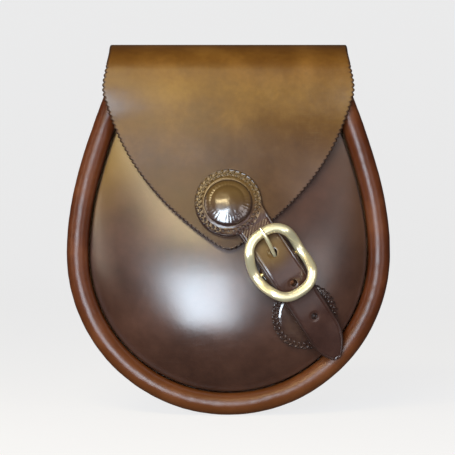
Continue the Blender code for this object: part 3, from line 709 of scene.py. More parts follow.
# ---------------------------------------------------------------- meshes

def net_normals(net: np.ndarray, round_columns: bool) -> np.ndarray:
    """The unit normals of a net of points, from rows x columns."""
    if round_columns:
        across = np.roll(net, -1, axis=1) - np.roll(net, 1, axis=1)
    else:
        across = np.gradient(net, axis=1)
    out = np.cross(np.gradient(net, axis=0), across)
    return out / np.maximum(np.linalg.norm(out, axis=2, keepdims=True), 1e-12)


def edge_distances(net: np.ndarray, round_columns: bool) -> np.ndarray:
    """How far each point of a net is from the sheet's boundary, along its rows and columns."""
    down = np.linalg.norm(np.diff(net, axis=0), axis=2)
    from_last = np.zeros(net.shape[:2])
    from_last[:-1] = np.cumsum(down[::-1], axis=0)[::-1]
    if round_columns:
        return from_last
    from_first = np.zeros(net.shape[:2])
    from_first[1:] = np.cumsum(down, axis=0)
    along = np.linalg.norm(np.diff(net, axis=1), axis=2)
    from_left, from_right = np.zeros(net.shape[:2]), np.zeros(net.shape[:2])
    from_left[:, 1:] = np.cumsum(along, axis=1)
    from_right[:, :-1] = np.cumsum(along[:, ::-1], axis=1)[:, ::-1]
    return np.minimum(np.minimum(from_first, from_last), np.minimum(from_left, from_right))


def net_faces(rows: int, columns: int, round_rows: bool = False, round_columns: bool = False,
              first: int = 0, turned: bool = False) -> list[tuple[int, ...]]:
    """The four-sided faces between neighbouring points of a net."""
    faces = []
    for r in range(rows if round_rows else rows - 1):
        for c in range(columns if round_columns else columns - 1):
            n, d = (r + 1) % rows, (c + 1) % columns
            quad = (r * columns + c, r * columns + d, n * columns + d, n * columns + c)
            faces.append(tuple(first + i for i in (quad[::-1] if turned else quad)))
    return faces


def closed_mesh(name: str, points: np.ndarray, faces: list[tuple[int, ...]],
                kinds: Optional[list[int]] = None, edge: Optional[np.ndarray] = None,
                sharp: float = 50.0) -> bpy.types.Mesh:
    """A mesh whose faces look outwards.

    Args:
        name: the mesh's name.
        points: the places of its points.
        faces: the faces, all turned the same way.
        kinds: each face's material number.
        edge: each point's distance from the sheet's boundary.
        sharp: the angle in degrees above which an edge is shaded sharp.

    Returns:
        The mesh, with the number "edge" on its points.
    """
    corners = [(points[f[0]], points[f[k]], points[f[k + 1]])
               for f in faces for k in range(1, len(f) - 1)]
    a, b, c = (np.array(side) for side in zip(*corners))
    if np.einsum("ij,ij->i", a, np.cross(b, c)).sum() < 0:
        faces = [f[::-1] for f in faces]
    mesh = bpy.data.meshes.new(name)
    mesh.from_pydata([tuple(p) for p in points], [], faces)
    if kinds:
        mesh.polygons.foreach_set("material_index", kinds)
    stored = mesh.attributes.new("edge", "FLOAT", "POINT")
    stored.data.foreach_set("value", np.full(len(points), 0.01, np.float32) if edge is None
                            else edge.astype(np.float32))
    mesh.validate()
    mesh.shade_smooth()
    mesh.set_sharp_from_angle(angle=math.radians(sharp))
    return mesh


def sheet_mesh(name: str, middle: np.ndarray, thickness: float, outside: Sequence[float],
               relief: Optional[np.ndarray] = None, round_columns: bool = False,
               rounding: float = 0.0011) -> bpy.types.Mesh:
    """A closed piece of hide around its middle surface, with softly rounded edges.

    Args:
        name: the mesh's name.
        middle: the net of its middle surface. With round columns it starts near its centre.
        thickness: the hide's thickness.
        outside: a direction that the grain side faces, in the middle of the net.
        relief: how far tooling lifts or sinks the grain side, for each point of the net.
        round_columns: the net's rows are rings.
        rounding: how far in the edge starts to round off.

    Returns:
        The mesh: material 0 on the grain side, 1 on the flesh side and 2 on the cut edge.
    """
    rows, columns = middle.shape[:2]
    normal = net_normals(middle, round_columns)
    if normal[rows // 2, columns // 2] @ np.array(outside) < 0:
        normal = -normal
    edge = edge_distances(middle, round_columns)
    inner = 1 - np.clip(edge / rounding, 0, 1)
    height = thickness / 2 * (0.42 + 0.58 * np.sqrt(1 - inner ** 2))
    lift = height if relief is None else height + relief
    top = middle + normal * lift[..., None]
    low = middle - normal * height[..., None]
    count = rows * columns
    points = np.concatenate([top.reshape(-1, 3), low.reshape(-1, 3)])
    faces = net_faces(rows, columns, round_columns=round_columns)
    faces += net_faces(rows, columns, round_columns=round_columns, first=count, turned=True)
    kinds = [0] * (len(faces) // 2) + [1] * (len(faces) // 2)
    last = [(rows - 1) * columns + c for c in range(columns)]
    if round_columns:
        centres = np.array([top[0].mean(0), low[0].mean(0)])
        points = np.concatenate([points, centres])
        for c in range(columns):
            d = (c + 1) % columns
            faces += [(2 * count, d, c), (2 * count + 1, count + c, count + d)]
            kinds += [0, 1]
        loop = last
    else:
        loop = (list(range(columns)) + [r * columns + columns - 1 for r in range(1, rows - 1)]
                + last[::-1] + [r * columns for r in range(rows - 2, 0, -1)])
    for here, there in zip(loop, loop[1:] + loop[:1]):
        quad = (here, there, count + there, count + here)
        faces.append(quad if round_columns else quad[::-1])
        kinds.append(2)
    distance = np.concatenate([edge.reshape(-1), edge.reshape(-1)])
    if round_columns:
        distance = np.concatenate([distance, [0.01, 0.01]])
    return closed_mesh(name, points, faces, kinds, distance)


def swept_mesh(name: str, rings: np.ndarray, closed: bool = False) -> bpy.types.Mesh:
    """A closed solid through rings of points; an open run of rings gets a cap at each end."""
    count, around = rings.shape[:2]
    points = rings.reshape(-1, 3)
    faces = net_faces(count, around, round_rows=closed, round_columns=True)
    if not closed:
        points = np.concatenate([points, [rings[0].mean(0), rings[-1].mean(0)]])
        base = (count - 1) * around
        for c in range(around):
            d = (c + 1) % around
            faces += [(count * around, d, c), (count * around + 1, base + c, base + d)]
    return closed_mesh(name, points, faces)


def ring_of(centre: Vector, one: Vector, two: Vector, radius: float,
            sides: int) -> list[Vector]:
    """A ring of points about a centre, in the plane of two directions."""
    turns = (2 * math.pi * k / sides for k in range(sides))
    return [centre + radius * (math.cos(a) * one + math.sin(a) * two) for a in turns]


def turned_solid(name: str, profile: Sequence[tuple[float, float]], place: Matrix,
                 sides: int = 64) -> bpy.types.Mesh:
    """A turned solid about a frame's Z, from (radius, height) points, with a cap at each end."""
    rings = [[place @ Vector((max(r, 1e-5) * math.cos(a), max(r, 1e-5) * math.sin(a), z))
              for a in (2 * math.pi * k / sides for k in range(sides))] for r, z in profile]
    return swept_mesh(name, np.array(rings))


def finished(mesh: bpy.types.Mesh, *finishes: bpy.types.Material) -> bpy.types.Mesh:
    """The same mesh with its finishes added, which a cut keeps only if they are there first."""
    for finish in finishes:
        mesh.materials.append(finish)
    return mesh


def refinished(node: str, finish: bpy.types.Material) -> None:
    """Gives a CAD node that stays in view its own finish."""
    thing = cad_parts[node]
    thing.data.materials.clear()
    thing.data.materials.append(finish)


def placed(name: str, mesh: bpy.types.Mesh, materials: Sequence[bpy.types.Material],
           body: Optional[Body], replaces: Sequence[str]) -> bpy.types.Object:
    """Puts a finished mesh into the scene and tells the frame what it is.

    Args:
        name: the piece's name.
        mesh: its mesh, in its final place.
        materials: its materials, by the faces' material numbers.
        body: the body that it rides on, or None where it bends between two.
        replaces: the CAD nodes that it stands for.

    Returns:
        The object.
    """
    mesh.name = name
    thing = bpy.data.objects.new(name, finished(mesh, *materials))
    bpy.context.scene.collection.objects.link(thing)
    if body is not None:
        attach(thing, body.value)
    if replaces:
        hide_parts(*replaces)
    log.info("%s: %d faces, %d finishes", name, len(mesh.polygons), len(mesh.materials))
    return thing


def cut_mesh(mesh: bpy.types.Mesh, cutters: Iterable[bpy.types.Mesh]) -> bpy.types.Mesh:
    """A mesh with closed cutters taken out of it."""
    work = bpy.data.objects.new("work", mesh)
    bpy.context.scene.collection.objects.link(work)
    tools = []
    for number, cutter in enumerate(cutters):
        tool = bpy.data.objects.new(f"cutter_{number}", cutter)
        bpy.context.scene.collection.objects.link(tool)
        hole = work.modifiers.new(tool.name, "BOOLEAN")
        hole.operation, hole.object = "DIFFERENCE", tool
        tools.append(tool)
    made = bpy.data.meshes.new_from_object(
        work.evaluated_get(bpy.context.evaluated_depsgraph_get()))
    for thing in [work, *tools]:
        bpy.data.objects.remove(thing)
    made.set_sharp_from_angle(angle=math.radians(50))
    return made


class Shape(Enum):
    """What a row of small repeated things is made of."""

    BEAD = "bead"
    DOME = "dome"
    WASHER = "washer"


@dataclass
class Repeats:
    """Small things repeated at given places with Geometry Nodes: beads, stitches, rivets."""

    shape: Shape
    length: float
    width: float
    height: float
    segments: int = 10

    def tree(self, finish: bpy.types.Material) -> bpy.types.NodeTree:
        """The node tree, with its sizes as named inputs."""
        tree = bpy.data.node_groups.new(f"repeat_{self.shape.value}", "GeometryNodeTree")
        face = tree.interface
        for name, kind in (("Geometry", "NodeSocketGeometry"), ("Size", "NodeSocketVector"),
                           ("Segments", "NodeSocketInt"), ("Finish", "NodeSocketMaterial")):
            face.new_socket(name, in_out="INPUT", socket_type=kind)
        face.new_socket("Geometry", in_out="OUTPUT", socket_type="NodeSocketGeometry")
        nodes, links = tree.nodes, tree.links
        given, result = nodes.new("NodeGroupInput"), nodes.new("NodeGroupOutput")
        ball = nodes.new("GeometryNodeMeshUVSphere")
        links.new(given.outputs["Segments"], ball.inputs["Segments"])
        ball.inputs["Rings"].default_value = 6
        ball.inputs["Radius"].default_value = 0.5
        source = ball.outputs["Mesh"]
        if self.shape is not Shape.BEAD:
            place = nodes.new("GeometryNodeInputPosition")
            parts = nodes.new("ShaderNodeSeparateXYZ")
            floor = nodes.new("ShaderNodeMath")
            floor.operation = "MAXIMUM"
            floor.inputs[1].default_value = -0.06 if self.shape is Shape.DOME else -0.25
            lid = nodes.new("ShaderNodeMath")
            lid.operation = "MINIMUM"
            lid.inputs[1].default_value = 0.6 if self.shape is Shape.DOME else 0.25
            joined = nodes.new("ShaderNodeCombineXYZ")
            moved = nodes.new("GeometryNodeSetPosition")
            links.new(place.outputs[0], parts.inputs[0])
            links.new(parts.outputs["Z"], floor.inputs[0])
            links.new(floor.outputs[0], lid.inputs[0])
            for axis, out in (("X", parts.outputs["X"]), ("Y", parts.outputs["Y"]),
                              ("Z", lid.outputs[0])):
                links.new(out, joined.inputs[axis])
            links.new(source, moved.inputs["Geometry"])
            links.new(joined.outputs[0], moved.inputs["Position"])
            source = moved.outputs["Geometry"]
        turn = nodes.new("GeometryNodeInputNamedAttribute")
        turn.data_type = "FLOAT_VECTOR"
        turn.inputs["Name"].default_value = "turn"
        spread = nodes.new("GeometryNodeInstanceOnPoints")
        real = nodes.new("GeometryNodeRealizeInstances")
        shaded = nodes.new("GeometryNodeSetShadeSmooth")
        dressed = nodes.new("GeometryNodeSetMaterial")
        links.new(given.outputs["Geometry"], spread.inputs["Points"])
        links.new(source, spread.inputs["Instance"])
        links.new(turn.outputs["Attribute"], spread.inputs["Rotation"])
        links.new(given.outputs["Size"], spread.inputs["Scale"])
        links.new(spread.outputs["Instances"], real.inputs["Geometry"])
        links.new(real.outputs["Geometry"], shaded.inputs["Geometry"])
        links.new(shaded.outputs["Geometry"], dressed.inputs["Geometry"])
        links.new(given.outputs["Finish"], dressed.inputs["Material"])
        links.new(dressed.outputs["Geometry"], result.inputs["Geometry"])
        return tree

    def mesh(self, name: str, frames: Sequence[Matrix],
             finish: bpy.types.Material) -> bpy.types.Mesh:
        """A plain mesh of the things.

        Args:
            name: the mesh's name.
            frames: a frame for each thing: X along it, Z out of the surface.
            finish: its material.

        Returns:
            The mesh.
        """
        points = bpy.data.meshes.new(name + "_places")
        points.from_pydata([f.to_translation() for f in frames], [], [])
        turns = points.attributes.new("turn", "FLOAT_VECTOR", "POINT")
        turns.data.foreach_set("vector", [v for f in frames for v in f.to_euler()])
        carrier = bpy.data.objects.new(name + "_places", points)
        bpy.context.scene.collection.objects.link(carrier)
        modifier = carrier.modifiers.new("Repeats", "NODES")
        modifier.node_group = self.tree(finish)
        sockets = {s.name: s.identifier for s in modifier.node_group.interface.items_tree
                   if s.in_out == "INPUT"}
        modifier[sockets["Size"]] = (self.length, self.width, self.height)
        modifier[sockets["Segments"]] = self.segments
        modifier[sockets["Finish"]] = finish
        made = bpy.data.meshes.new_from_object(
            carrier.evaluated_get(bpy.context.evaluated_depsgraph_get()))
        bpy.data.objects.remove(carrier)
        if not made.materials:
            made.materials.append(finish)
        edge = made.attributes.new("edge", "FLOAT", "POINT")
        edge.data.foreach_set("value", [0.0035] * len(made.vertices))
        return made


def surface_frame(at: Vector, ahead: Vector, out: Vector, turn: float = 0.0) -> Matrix:
    """A frame at a point: X roughly ahead, Z out of the surface, turned about Z."""
    z = out.normalized()
    x = (ahead - ahead.dot(z) * z).normalized()
    frame_matrix = Matrix((x, z.cross(x), z)).transposed().to_4x4()
    return Matrix.Translation(at) @ frame_matrix @ Matrix.Rotation(turn, 4, "Z")


def sheet_columns(count: int) -> list[float]:
    """Places from -1 to 1 across a sheet, closer together towards its edges."""
    return [math.sin(math.pi / 2 * t) for t in steps(-1, 1, count)]


# ---------------------------------------------------------------- sub-assemblies

@dataclass
class Pouch:
    """The body of the bag: front panel, side wall, rolled edge and its core."""

    form: BagForm
    finishes: Finishes
    panel_inset: float = 0.0166
    wall_inset: float = 0.0097
    piping_wall: float = 0.0023
    piping_top_up: float = 0.230
    wrinkle: float = 0.00016

    def front_panel(self) -> None:
        """The moulded front, in rings from its middle to its sewn edge."""
        form = self.form
        edge = form.whole_edge(self.panel_inset, form.mouth_up, 60, 40)
        corner, across = edge[-1], 40
        edge += [Vector((corner.x * (1 - 2 * k / across), form.mouth_up)) for k in range(1, across)]
        centre = Vector((0, form.edge_centre_up + 0.015))
        shares = [0.02 + 0.98 * math.sin(math.pi / 2 * t) ** 1.25 for t in steps(0, 1, 56)]
        net = []
        for share in shares:
            ring = []
            for p in edge:
                x, up = centre + share * (p - centre)
                swell = 0.0005 * noise.noise(Vector((x * 22, up * 22, 3.1))) * (1 - share ** 4)
                ring.append((x, form.panel_middle(x, up) + swell, up - form.slot_up))
            net.append(ring)
        mesh = sheet_mesh("front_panel", np.array(net), form.hide, (0, -1, 0), round_columns=True)
        placed("moulded_front", mesh,
               (self.finishes.panel, self.finishes.flesh, self.finishes.edge),
               Body.BAG, ("front_panel",))

    def side_wall(self) -> None:
        """The side wall, bent outwards at the back into the flange that is sewn to the back."""
        form = self.form
        half = form.lining_hide / 2
        flange_y = form.back_rear_y - form.hide - form.gap - half
        bend = 0.0022
        section = [(self.wall_inset + half, None)] * 10
        section += [(self.wall_inset + half - bend * (1 - math.cos(a)),
                     flange_y - bend * (1 - math.sin(a)))
                    for a in (math.pi / 2 * k / 6 for k in range(7))]
        last = section[-1][0]
        section += [(last + (form.back_inset - last) * k / 4, flange_y) for k in range(1, 5)]
        lines = [form.whole_edge(inset, form.mouth_up, 66, 44) for inset, _ in section]
        net = []
        for places in zip(*lines):
            row = []
            for k, (p, (_, y)) in enumerate(zip(places, section)):
                front = form.seam_y(p.y) + form.piping_radius + form.gap
                if y is None:
                    y = front + (flange_y - bend - front) * k / 10
                row.append((p.x, y, p.y - form.slot_up))
            net.append(row)
        mesh = sheet_mesh("side_wall", np.array(net), form.lining_hide, (0, 0, -1),
                          rounding=0.0008)
        placed("side_wall", mesh, (self.finishes.body, self.finishes.flesh, self.finishes.edge),
               Body.BAG, ("gusset",))

    def rolled_edge(self) -> None:
        """The thick rolled edge: a leather tube over a felt core, with fine cross wrinkles."""
        form, sides = self.form, 36
        route = [Vector((p.x, form.seam_y(p.y), p.y - form.slot_up)) for p in
                 form.whole_edge(form.piping_radius, self.piping_top_up, 150, 90)]
        walk, walked = [0.0], 0.0
        for a, b in zip(route, route[1:]):
            walked += (b - a).length
            walk.append(walked)
        outer, inner = [], []
        for k, centre in enumerate(route):
            ahead = (route[min(k + 1, len(route) - 1)] - route[max(k - 1, 0)]).normalized()
            out = Vector((0, -1, 0))
            out = (out - out.dot(ahead) * ahead).normalized()
            side = ahead.cross(out)
            end = min(walk[k], walked - walk[k])
            ring = []
            for j in range(sides):
                a = 2 * math.pi * j / sides
                crease = noise.noise(Vector((walk[k] * 210, 1.3 * math.cos(a), 1.3 * math.sin(a))))
                slow = noise.noise(Vector((walk[k] * 38, math.cos(a), math.sin(a) + 7)))
                radius = form.piping_radius + self.wrinkle * (0.7 * crease + slow) - 0.0001
                radius -= 0.0009 * (1 - min(end / 0.0016, 1)) ** 2
                ring.append(centre + radius * (math.cos(a) * out + math.sin(a) * side))
            outer.append(ring)
            inner.append(ring_of(centre, out, side, form.piping_radius - self.piping_wall, sides))
        mesh = swept_mesh("rolled_edge", np.array(outer + inner[::-1]), closed=True)
        placed("rolled_edge", mesh, (self.finishes.piping,), Body.BAG,
               ("piping_cover",))
        refinished("piping_core", self.finishes.felt)

    def build(self) -> None:
        """Builds the body."""
        self.front_panel()
        self.side_wall()
        self.rolled_edge()


@dataclass
class BackAndFlap:
    """One hide: up the back, over the top and down the front to the flap's point."""

    form: BagForm
    finishes: Finishes
    pink_pitch: float = 0.0034
    pink_depth: float = 0.0013
    pink_from_up: float = 0.2345
    tip_up: float = 0.1102
    tip_from: tuple[float, float] = (0.0085, 0.1132)
    stitch_inset: float = 0.0028
    stitch_pitch: float = 0.0045
    stitch_size: tuple[float, float, float] = (0.0036, 0.0011, 0.0009)

    def half_width(self, up: float) -> float:
        """Half the flap's width: a soft shoulder, then a side that curves in to the point."""
        shoulder = ((0.0839, 0.212), (0.0865, 0.222), (0.0818, 0.232), (0.0807, 0.243))
        flank = (self.tip_from, (0.0520, 0.1432), (0.0719, 0.1720), (0.0839, 0.212))
        if up >= shoulder[-1][1]:
            return shoulder[-1][0]
        if up < flank[0][1]:
            share = max(up - self.tip_up, 0.00004) / (flank[0][1] - self.tip_up)
            return flank[0][0] * share ** 0.55
        curve = shoulder if up > self.form.flap_shoulder_up else flank
        return bezier(curve, reach(lambda t: bezier(curve, t), up)).x

    def stations(self) -> list[tuple[float, float, float, bool]]:
        """(y, up, half width, on the flap's front) of each row, from the back's bottom up."""
        form = self.form
        rows = []
        centre, radius = form.edge_centre_up, form.edge_radius - form.back_inset
        for a in steps(-0.4965, 0, 74)[:-1]:
            turn = math.pi * a
            rows.append((form.back_y, centre + radius * math.sin(turn),
                         radius * math.cos(turn), False))
        end = reach(lambda t: form.side(t, form.back_inset), form.flap_shoulder_up)
        for t in steps(0, end, 40):
            p = form.side(t, form.back_inset)
            rows.append((form.back_y, p.y, p.x, False))
        top_width = self.half_width(form.hinge_up)
        wide = form.back_top_half_width
        rows += [(form.back_y, up, wide, False)
                 for up in steps(form.flap_shoulder_up + 0.002, form.back_fold_up, 10)]
        rows += [(form.hinge_y + form.fold_flat + form.back_fold_radius * math.cos(a),
                  form.back_fold_up + form.back_fold_radius * math.sin(a), wide, False)
                 for a in steps(0, math.pi / 2, 18)[1:]]
        fold, line_end = form.front_fold()
        top = fold.y + form.front_fold_radius
        rows += [(y, top, wide + (top_width - wide) * k / 3, False) for k, y in
                 enumerate(steps(form.hinge_y + 0.0005, form.hinge_y - form.fold_flat, 3))]
        for a in steps(0, math.pi / 2 - form.flap_lean, 64)[1:]:
            up = fold.y + form.front_fold_radius * math.cos(a)
            rows.append((fold.x - form.front_fold_radius * math.sin(a), up,
                         self.half_width(up), False))
        for up in steps(line_end.y, self.tip_from[1], 380)[1:]:
            rows.append((form.flap_profile(up), up, self.half_width(up), True))
        for t in steps(0, 1, 26)[1:]:
            up = self.tip_from[1] + (self.tip_up - self.tip_from[1]) * math.sin(math.pi / 2 * t)
            rows.append((form.flap_profile(up), up, self.half_width(up), True))
        return rows

    def pinking(self, rows: list[tuple[float, float, float, bool]]) -> list[tuple[float, float]]:
        """How far the pinked edge draws each row's end in, as (towards the middle, up)."""
        form = self.form
        ends = [Vector((w, form.flap_middle(w, up, y) if front else y, up))
                for y, up, w, front in rows]
        walked, shifts = 0.0, []
        for k, (_, up, _, _) in enumerate(rows):
            on_flap = ends[k].y < form.hinge_y - 0.004
            if k and on_flap and up < self.pink_from_up:
                walked += (ends[k] - ends[k - 1]).length
            bite = self.pink_depth * (1 - abs(math.sin(math.pi * walked / self.pink_pitch)) ** 0.8)
            if walked == 0 or k > len(rows) - 8:
                bite = 0
            before, after = ends[max(k - 1, 0)], ends[min(k + 1, len(rows) - 1)]
            run = Vector((after.x - before.x, after.z - before.z))
            run = run.normalized() if run.length > 1e-7 else Vector((0, -1))
            shifts.append((bite * abs(run.y), bite * abs(run.x)))
        return shifts

    def build(self) -> None:
        """Builds the hide with its pinked edge, and the seam along the back."""
        form = self.form
        rows = self.stations()
        shifts = self.pinking(rows)
        ts = sheet_columns(40)
        net = np.zeros((len(rows), len(ts), 3))
        for k, ((y, up, wide, front), (inwards, upwards)) in enumerate(zip(rows, shifts)):
            for j, t in enumerate(ts):
                near = smooth((abs(t) * wide - wide + 0.005) / 0.005)
                x = t * wide - math.copysign(inwards * near, t)
                height = up + upwards * near
                depth = form.flap_middle(x, height) if front else y
                net[k, j] = (x, depth, height - form.slot_up)
        edge = edge_distances(net, False)
        relief = np.zeros(edge.shape)
        back_rows = sum(1 for y, up, _, _ in rows
                        if y == form.back_y and up < form.flap_shoulder_up)
        for k in range(back_rows):
            relief[k] = [-0.0003 * hump(d - self.stitch_inset, 0.0006) for d in edge[k]]
        mesh = sheet_mesh("hide", net, form.hide, (0, 0, 1), relief)
        self.face_out(mesh)
        hide = placed("back_and_flap", mesh, (self.finishes.flap, self.finishes.flesh,
                                              self.finishes.edge, self.finishes.body), None,
                      ("back_panel", "flap"))
        for face in mesh.polygons:
            if face.material_index == 0 and face.center.y > form.hinge_y + 0.0085:
                face.material_index = 3
        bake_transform(hide)
        self.seam()

    def face_out(self, mesh: bpy.types.Mesh) -> None:
        """Gives the outer side the grain and the inner side the flesh, whichever way it came."""
        outer = [f for f in mesh.polygons if f.material_index == 0]
        behind = [f for f in outer if f.center.z < 0.03 and f.center.y > -0.02]
        if sum(f.normal.y for f in behind) < 0:
            for face in mesh.polygons:
                if face.material_index < 2:
                    face.material_index = 1 - face.material_index

    def seam(self) -> None:
        """The hand stitches that hold the side wall's flange to the back."""
        form = self.form
        line = form.whole_edge(form.back_inset + self.stitch_inset, 0.222, 200, 120)
        frames, walked = [], 0.0
        for a, b in zip(line, line[1:]):
            walked += (b - a).length
            if walked >= self.stitch_pitch:
                walked -= self.stitch_pitch
                ahead = Vector((b.x - a.x, 0, b.y - a.y))
                at = Vector((b.x, form.back_rear_y - 0.0002, b.y - form.slot_up))
                frames.append(surface_frame(at, ahead, Vector((0, 1, 0)), 0.12))
        mesh = Repeats(Shape.BEAD, *self.stitch_size).mesh("seam", frames, self.finishes.thread)
        placed("back_stitches", mesh, (), Body.BAG, ())


@dataclass
class Rosette:
    """A round tooled end: rings, a rope-like border of slanted beads, perhaps a scalloped edge."""

    form: BagForm
    centre: tuple[float, float]
    radius: float = 0.022
    bead_radii: tuple[float, float] = (0.0186, 0.0207)
    bead_count: int = 33
    bead_size: tuple[float, float, float] = (0.0034, 0.00185, 0.0016)

    def relief(self, along: float, across: float) -> float:
        """How far the tooling lifts the surface at a place on the strap."""
        r = math.hypot(along - self.centre[0], across - self.centre[1])
        if r > self.radius + 0.001:
            return 0.0
        ring = 0.00012 * smooth((r - 0.0140) / 0.0012) * smooth((0.0172 - r) / 0.0008)
        groove = -0.00055 * hump(r - 0.0174, 0.00040)
        bed = -0.00035 * smooth((r - 0.0174) / 0.0006) * smooth((0.0216 - r) / 0.0006)
        return ring + groove + bed

    def frames(self, top: Callable[[float, float], Vector]) -> list[Matrix]:
        """A frame for each bead, slanted one way in the inner row and the other in the outer.

        Args:
            top: gives the point on the leather's surface at a place on the strap.

        Returns:
            The frames.
        """
        frames = []
        for row, radius in enumerate(self.bead_radii):
            for k in range(self.bead_count):
                a = 2 * math.pi * (k + 0.5 * row) / self.bead_count
                u, v = self.centre[0] + radius * math.cos(a), self.centre[1] + radius * math.sin(a)
                at = top(u, v)
                one, two = top(u + 0.0004, v) - at, top(u, v + 0.0004) - at
                out = one.cross(two)
                round_it = one * -math.sin(a) + two * math.cos(a)
                frames.append(surface_frame(at, round_it, out, 0.75 if row else -0.75))
        return frames


@dataclass
class Strap:
    """The billet: rosette, neck, and the strap through the buckle down to its point."""

    form: BagForm
    finishes: Finishes
    half_width: float = 0.0116
    tip_along: float = 0.074
    tip_across: float = -0.002
    taper_along: float = 0.053
    rosette_place: tuple[float, float] = (-0.052, -0.006)
    rosette_radius: float = 0.022
    hole_radius: float = 0.00225
    holes: tuple[float, ...] = (-0.0085, 0.0151, 0.041)
    air: tuple[tuple[float, float], ...] = (
        (-0.018, 0.0058), (-0.010, 0.0070), (0, 0.0083), (0.010, 0.0072),
        (0.017, 0.0056), (0.026, 0.0037), (0.040, 0.0034), (0.052, 0.0034))
    boss_radius: float = 0.0158
    boss_height: float = 0.0055
    boss_hide: float = 0.0016
    boss_crease: float = 0.0108
    boss_crease_depth: float = 0.00042
    boss_pleat_depth: float = 0.00013

    def __post_init__(self) -> None:
        """Works out the heights and cross slopes that the strap follows."""
        form = self.form
        supports = [(place, form.flap_middle, form.hide + 1.3 * form.gap)
                    for place in (-0.030, -0.025)]
        supports += [(place, form.panel_middle, form.hide + air) for place, air in self.air]
        self.rises, self.slopes = [], []
        for place, surface, distance in supports:
            low, middle, high = (form.in_front(surface, *form.strap_place(place, c), distance).y
                                 for c in (-0.005, 0, 0.005))
            self.rises.append((place, middle))
            self.slopes.append((place, (high - low) / 0.010))
        tip_up = form.strap_place(self.tip_along, 0)[1]
        self.rises.append((self.tip_along, form.seam_y(tip_up) - form.piping_radius
                           - 2 * form.gap - form.hide / 2))
        self.slopes.append((self.tip_along, 0.0))
        self.rosette = Rosette(form, self.rosette_place, self.rosette_radius)

    def middle_y(self, along: float, across: float) -> float:
        """The strap's middle surface: on the flap, over the bar, then down to the rolled edge."""
        form = self.form
        on_flap = 0.0
        if along < -0.030:
            on_flap = form.in_front(form.flap_middle, *form.strap_place(along, across),
                                    form.hide + 1.3 * form.gap).y
        if along < -0.040:
            return on_flap
        ruled = eased(self.rises, along) + across * eased(self.slopes, along)
        share = smooth((along + 0.040) / 0.010)
        return on_flap + (ruled - on_flap) * share if share < 1 else ruled

    def middle(self, along: float, across: float) -> Vector:
        """A point of the strap's middle surface."""
        x, up = self.form.strap_place(along, across)
        return Vector((x, self.middle_y(along, across), up - self.form.slot_up))

    def span(self, along: float) -> tuple[float, float]:
        """The strap's two edges across it."""
        if along > self.taper_along:
            share = (along - self.taper_along) / (self.tip_along - self.taper_along)
            half = self.half_width * (1 - 0.78 * share ** 2.2)
            half *= math.sqrt(max(1 - (max(share - 0.93, 0) / 0.0705) ** 2, 0.0004))
            return self.tip_across * share - half, self.tip_across * share + half
        from_centre = along - self.rosette_place[0]
        chord = math.sqrt(max(self.rosette_radius ** 2 - from_centre ** 2, 0))
        low, high = self.rosette_place[1] - chord, self.rosette_place[1] + chord
        if from_centre < 0:
            return low, high

        def wider(a: float, b: float) -> float:
            """The larger of two, with a soft corner."""
            return (a + b + math.sqrt((a - b) ** 2 + 0.0018 ** 2)) / 2

        soft = smooth(from_centre / 0.008) * smooth((0.016 - along - 0.030) / 0.01)
        sharp_low, sharp_high = min(low, -self.half_width), max(high, self.half_width)
        return (sharp_low + soft * (-wider(-low, self.half_width) - sharp_low),
                sharp_high + soft * (wider(high, self.half_width) - sharp_high))

    def relief(self, along: float, across: float, edge: float) -> float:
        """The tooling: rosette rings, edge creases, the neck's slanted lines, hole dimples."""
        made = self.rosette.relief(along, across)
        if along > -0.034:
            made -= 0.00040 * hump(edge - 0.0020, 0.00042) * smooth((along + 0.034) / 0.004)
        neck = smooth((along + 0.0345) / 0.003) * smooth((-0.0165 - along) / 0.003)
        if neck:
            line = abs(math.sin(math.pi * (along * 0.72 + across * 0.69) / 0.0017))
            made -= 0.00028 * neck * (1 - line) * smooth((edge - 0.0024) / 0.0008)
        for place in self.holes:
            made -= 0.00055 * smooth((0.0036 - math.hypot(along - place, across)) / 0.0013)
        return made

    def billet(self, buckle: "Buckle") -> None:
        """The strap and its rosette in one piece of leather, with its holes."""
        start, radius = self.rosette_place[0], self.rosette_radius
        rows = [start - radius * math.cos(a) for a in steps(0.035, math.pi / 2, 64)[:-1]]
        rows += steps(start, self.tip_along - 0.0022, 300)[:-1]
        rows += steps(self.tip_along - 0.0022, self.tip_along - 0.00002, 12)
        ts = sheet_columns(44)
        net = np.zeros((len(rows), len(ts), 3))
        places = []
        for k, along in enumerate(rows):
            low, high = self.span(along)
            acrosses = [(low + high) / 2 + t * (high - low) / 2 for t in ts]
            places.append([(along, across) for across in acrosses])
            net[k] = [self.middle(along, across) for across in acrosses]
        edge = edge_distances(net, False)
        relief = np.array([[self.relief(*places[k][j], edge[k, j]) for j in range(len(ts))]
                           for k in range(len(rows))])
        mesh = sheet_mesh("billet", net, self.form.hide, (0, -1, 0), relief)
        cutters = []
        for along in self.holes:
            place = self.form.local_frame(self.form.panel_middle, along, 0, 0.006)
            cutters.append(turned_solid("hole", [(self.hole_radius, -0.02),
                                                 (self.hole_radius, 0.02)], place, 32))
        cutters += [buckle.tongue_solid("slot", 1.5 * self.form.gap, 0.0, rise_only=True,
                                        swing=math.radians(angle)) for angle in (0, 3, 6)]
        finished(mesh, self.finishes.strap, self.finishes.flesh, self.finishes.edge)
        placed("strap", cut_mesh(mesh, cutters), (), Body.FLAP, ("billet",))

    def beads(self) -> None:
        """The rope-like border of the rosette."""
        form, rosette = self.form, self.rosette

        def top(along: float, across: float) -> Vector:
            """A point on the grain side."""
            at = form.in_front(form.flap_middle, *form.strap_place(along, across),
                               form.hide * 1.5 + 1.3 * form.gap)
            return at + Vector((0, 0.0002, 0))

        mesh = Repeats(Shape.BEAD, *rosette.bead_size).mesh("beads", rosette.frames(top),
                                                            self.finishes.beaded)
        placed("rosette_beads", mesh, (), Body.FLAP, ())

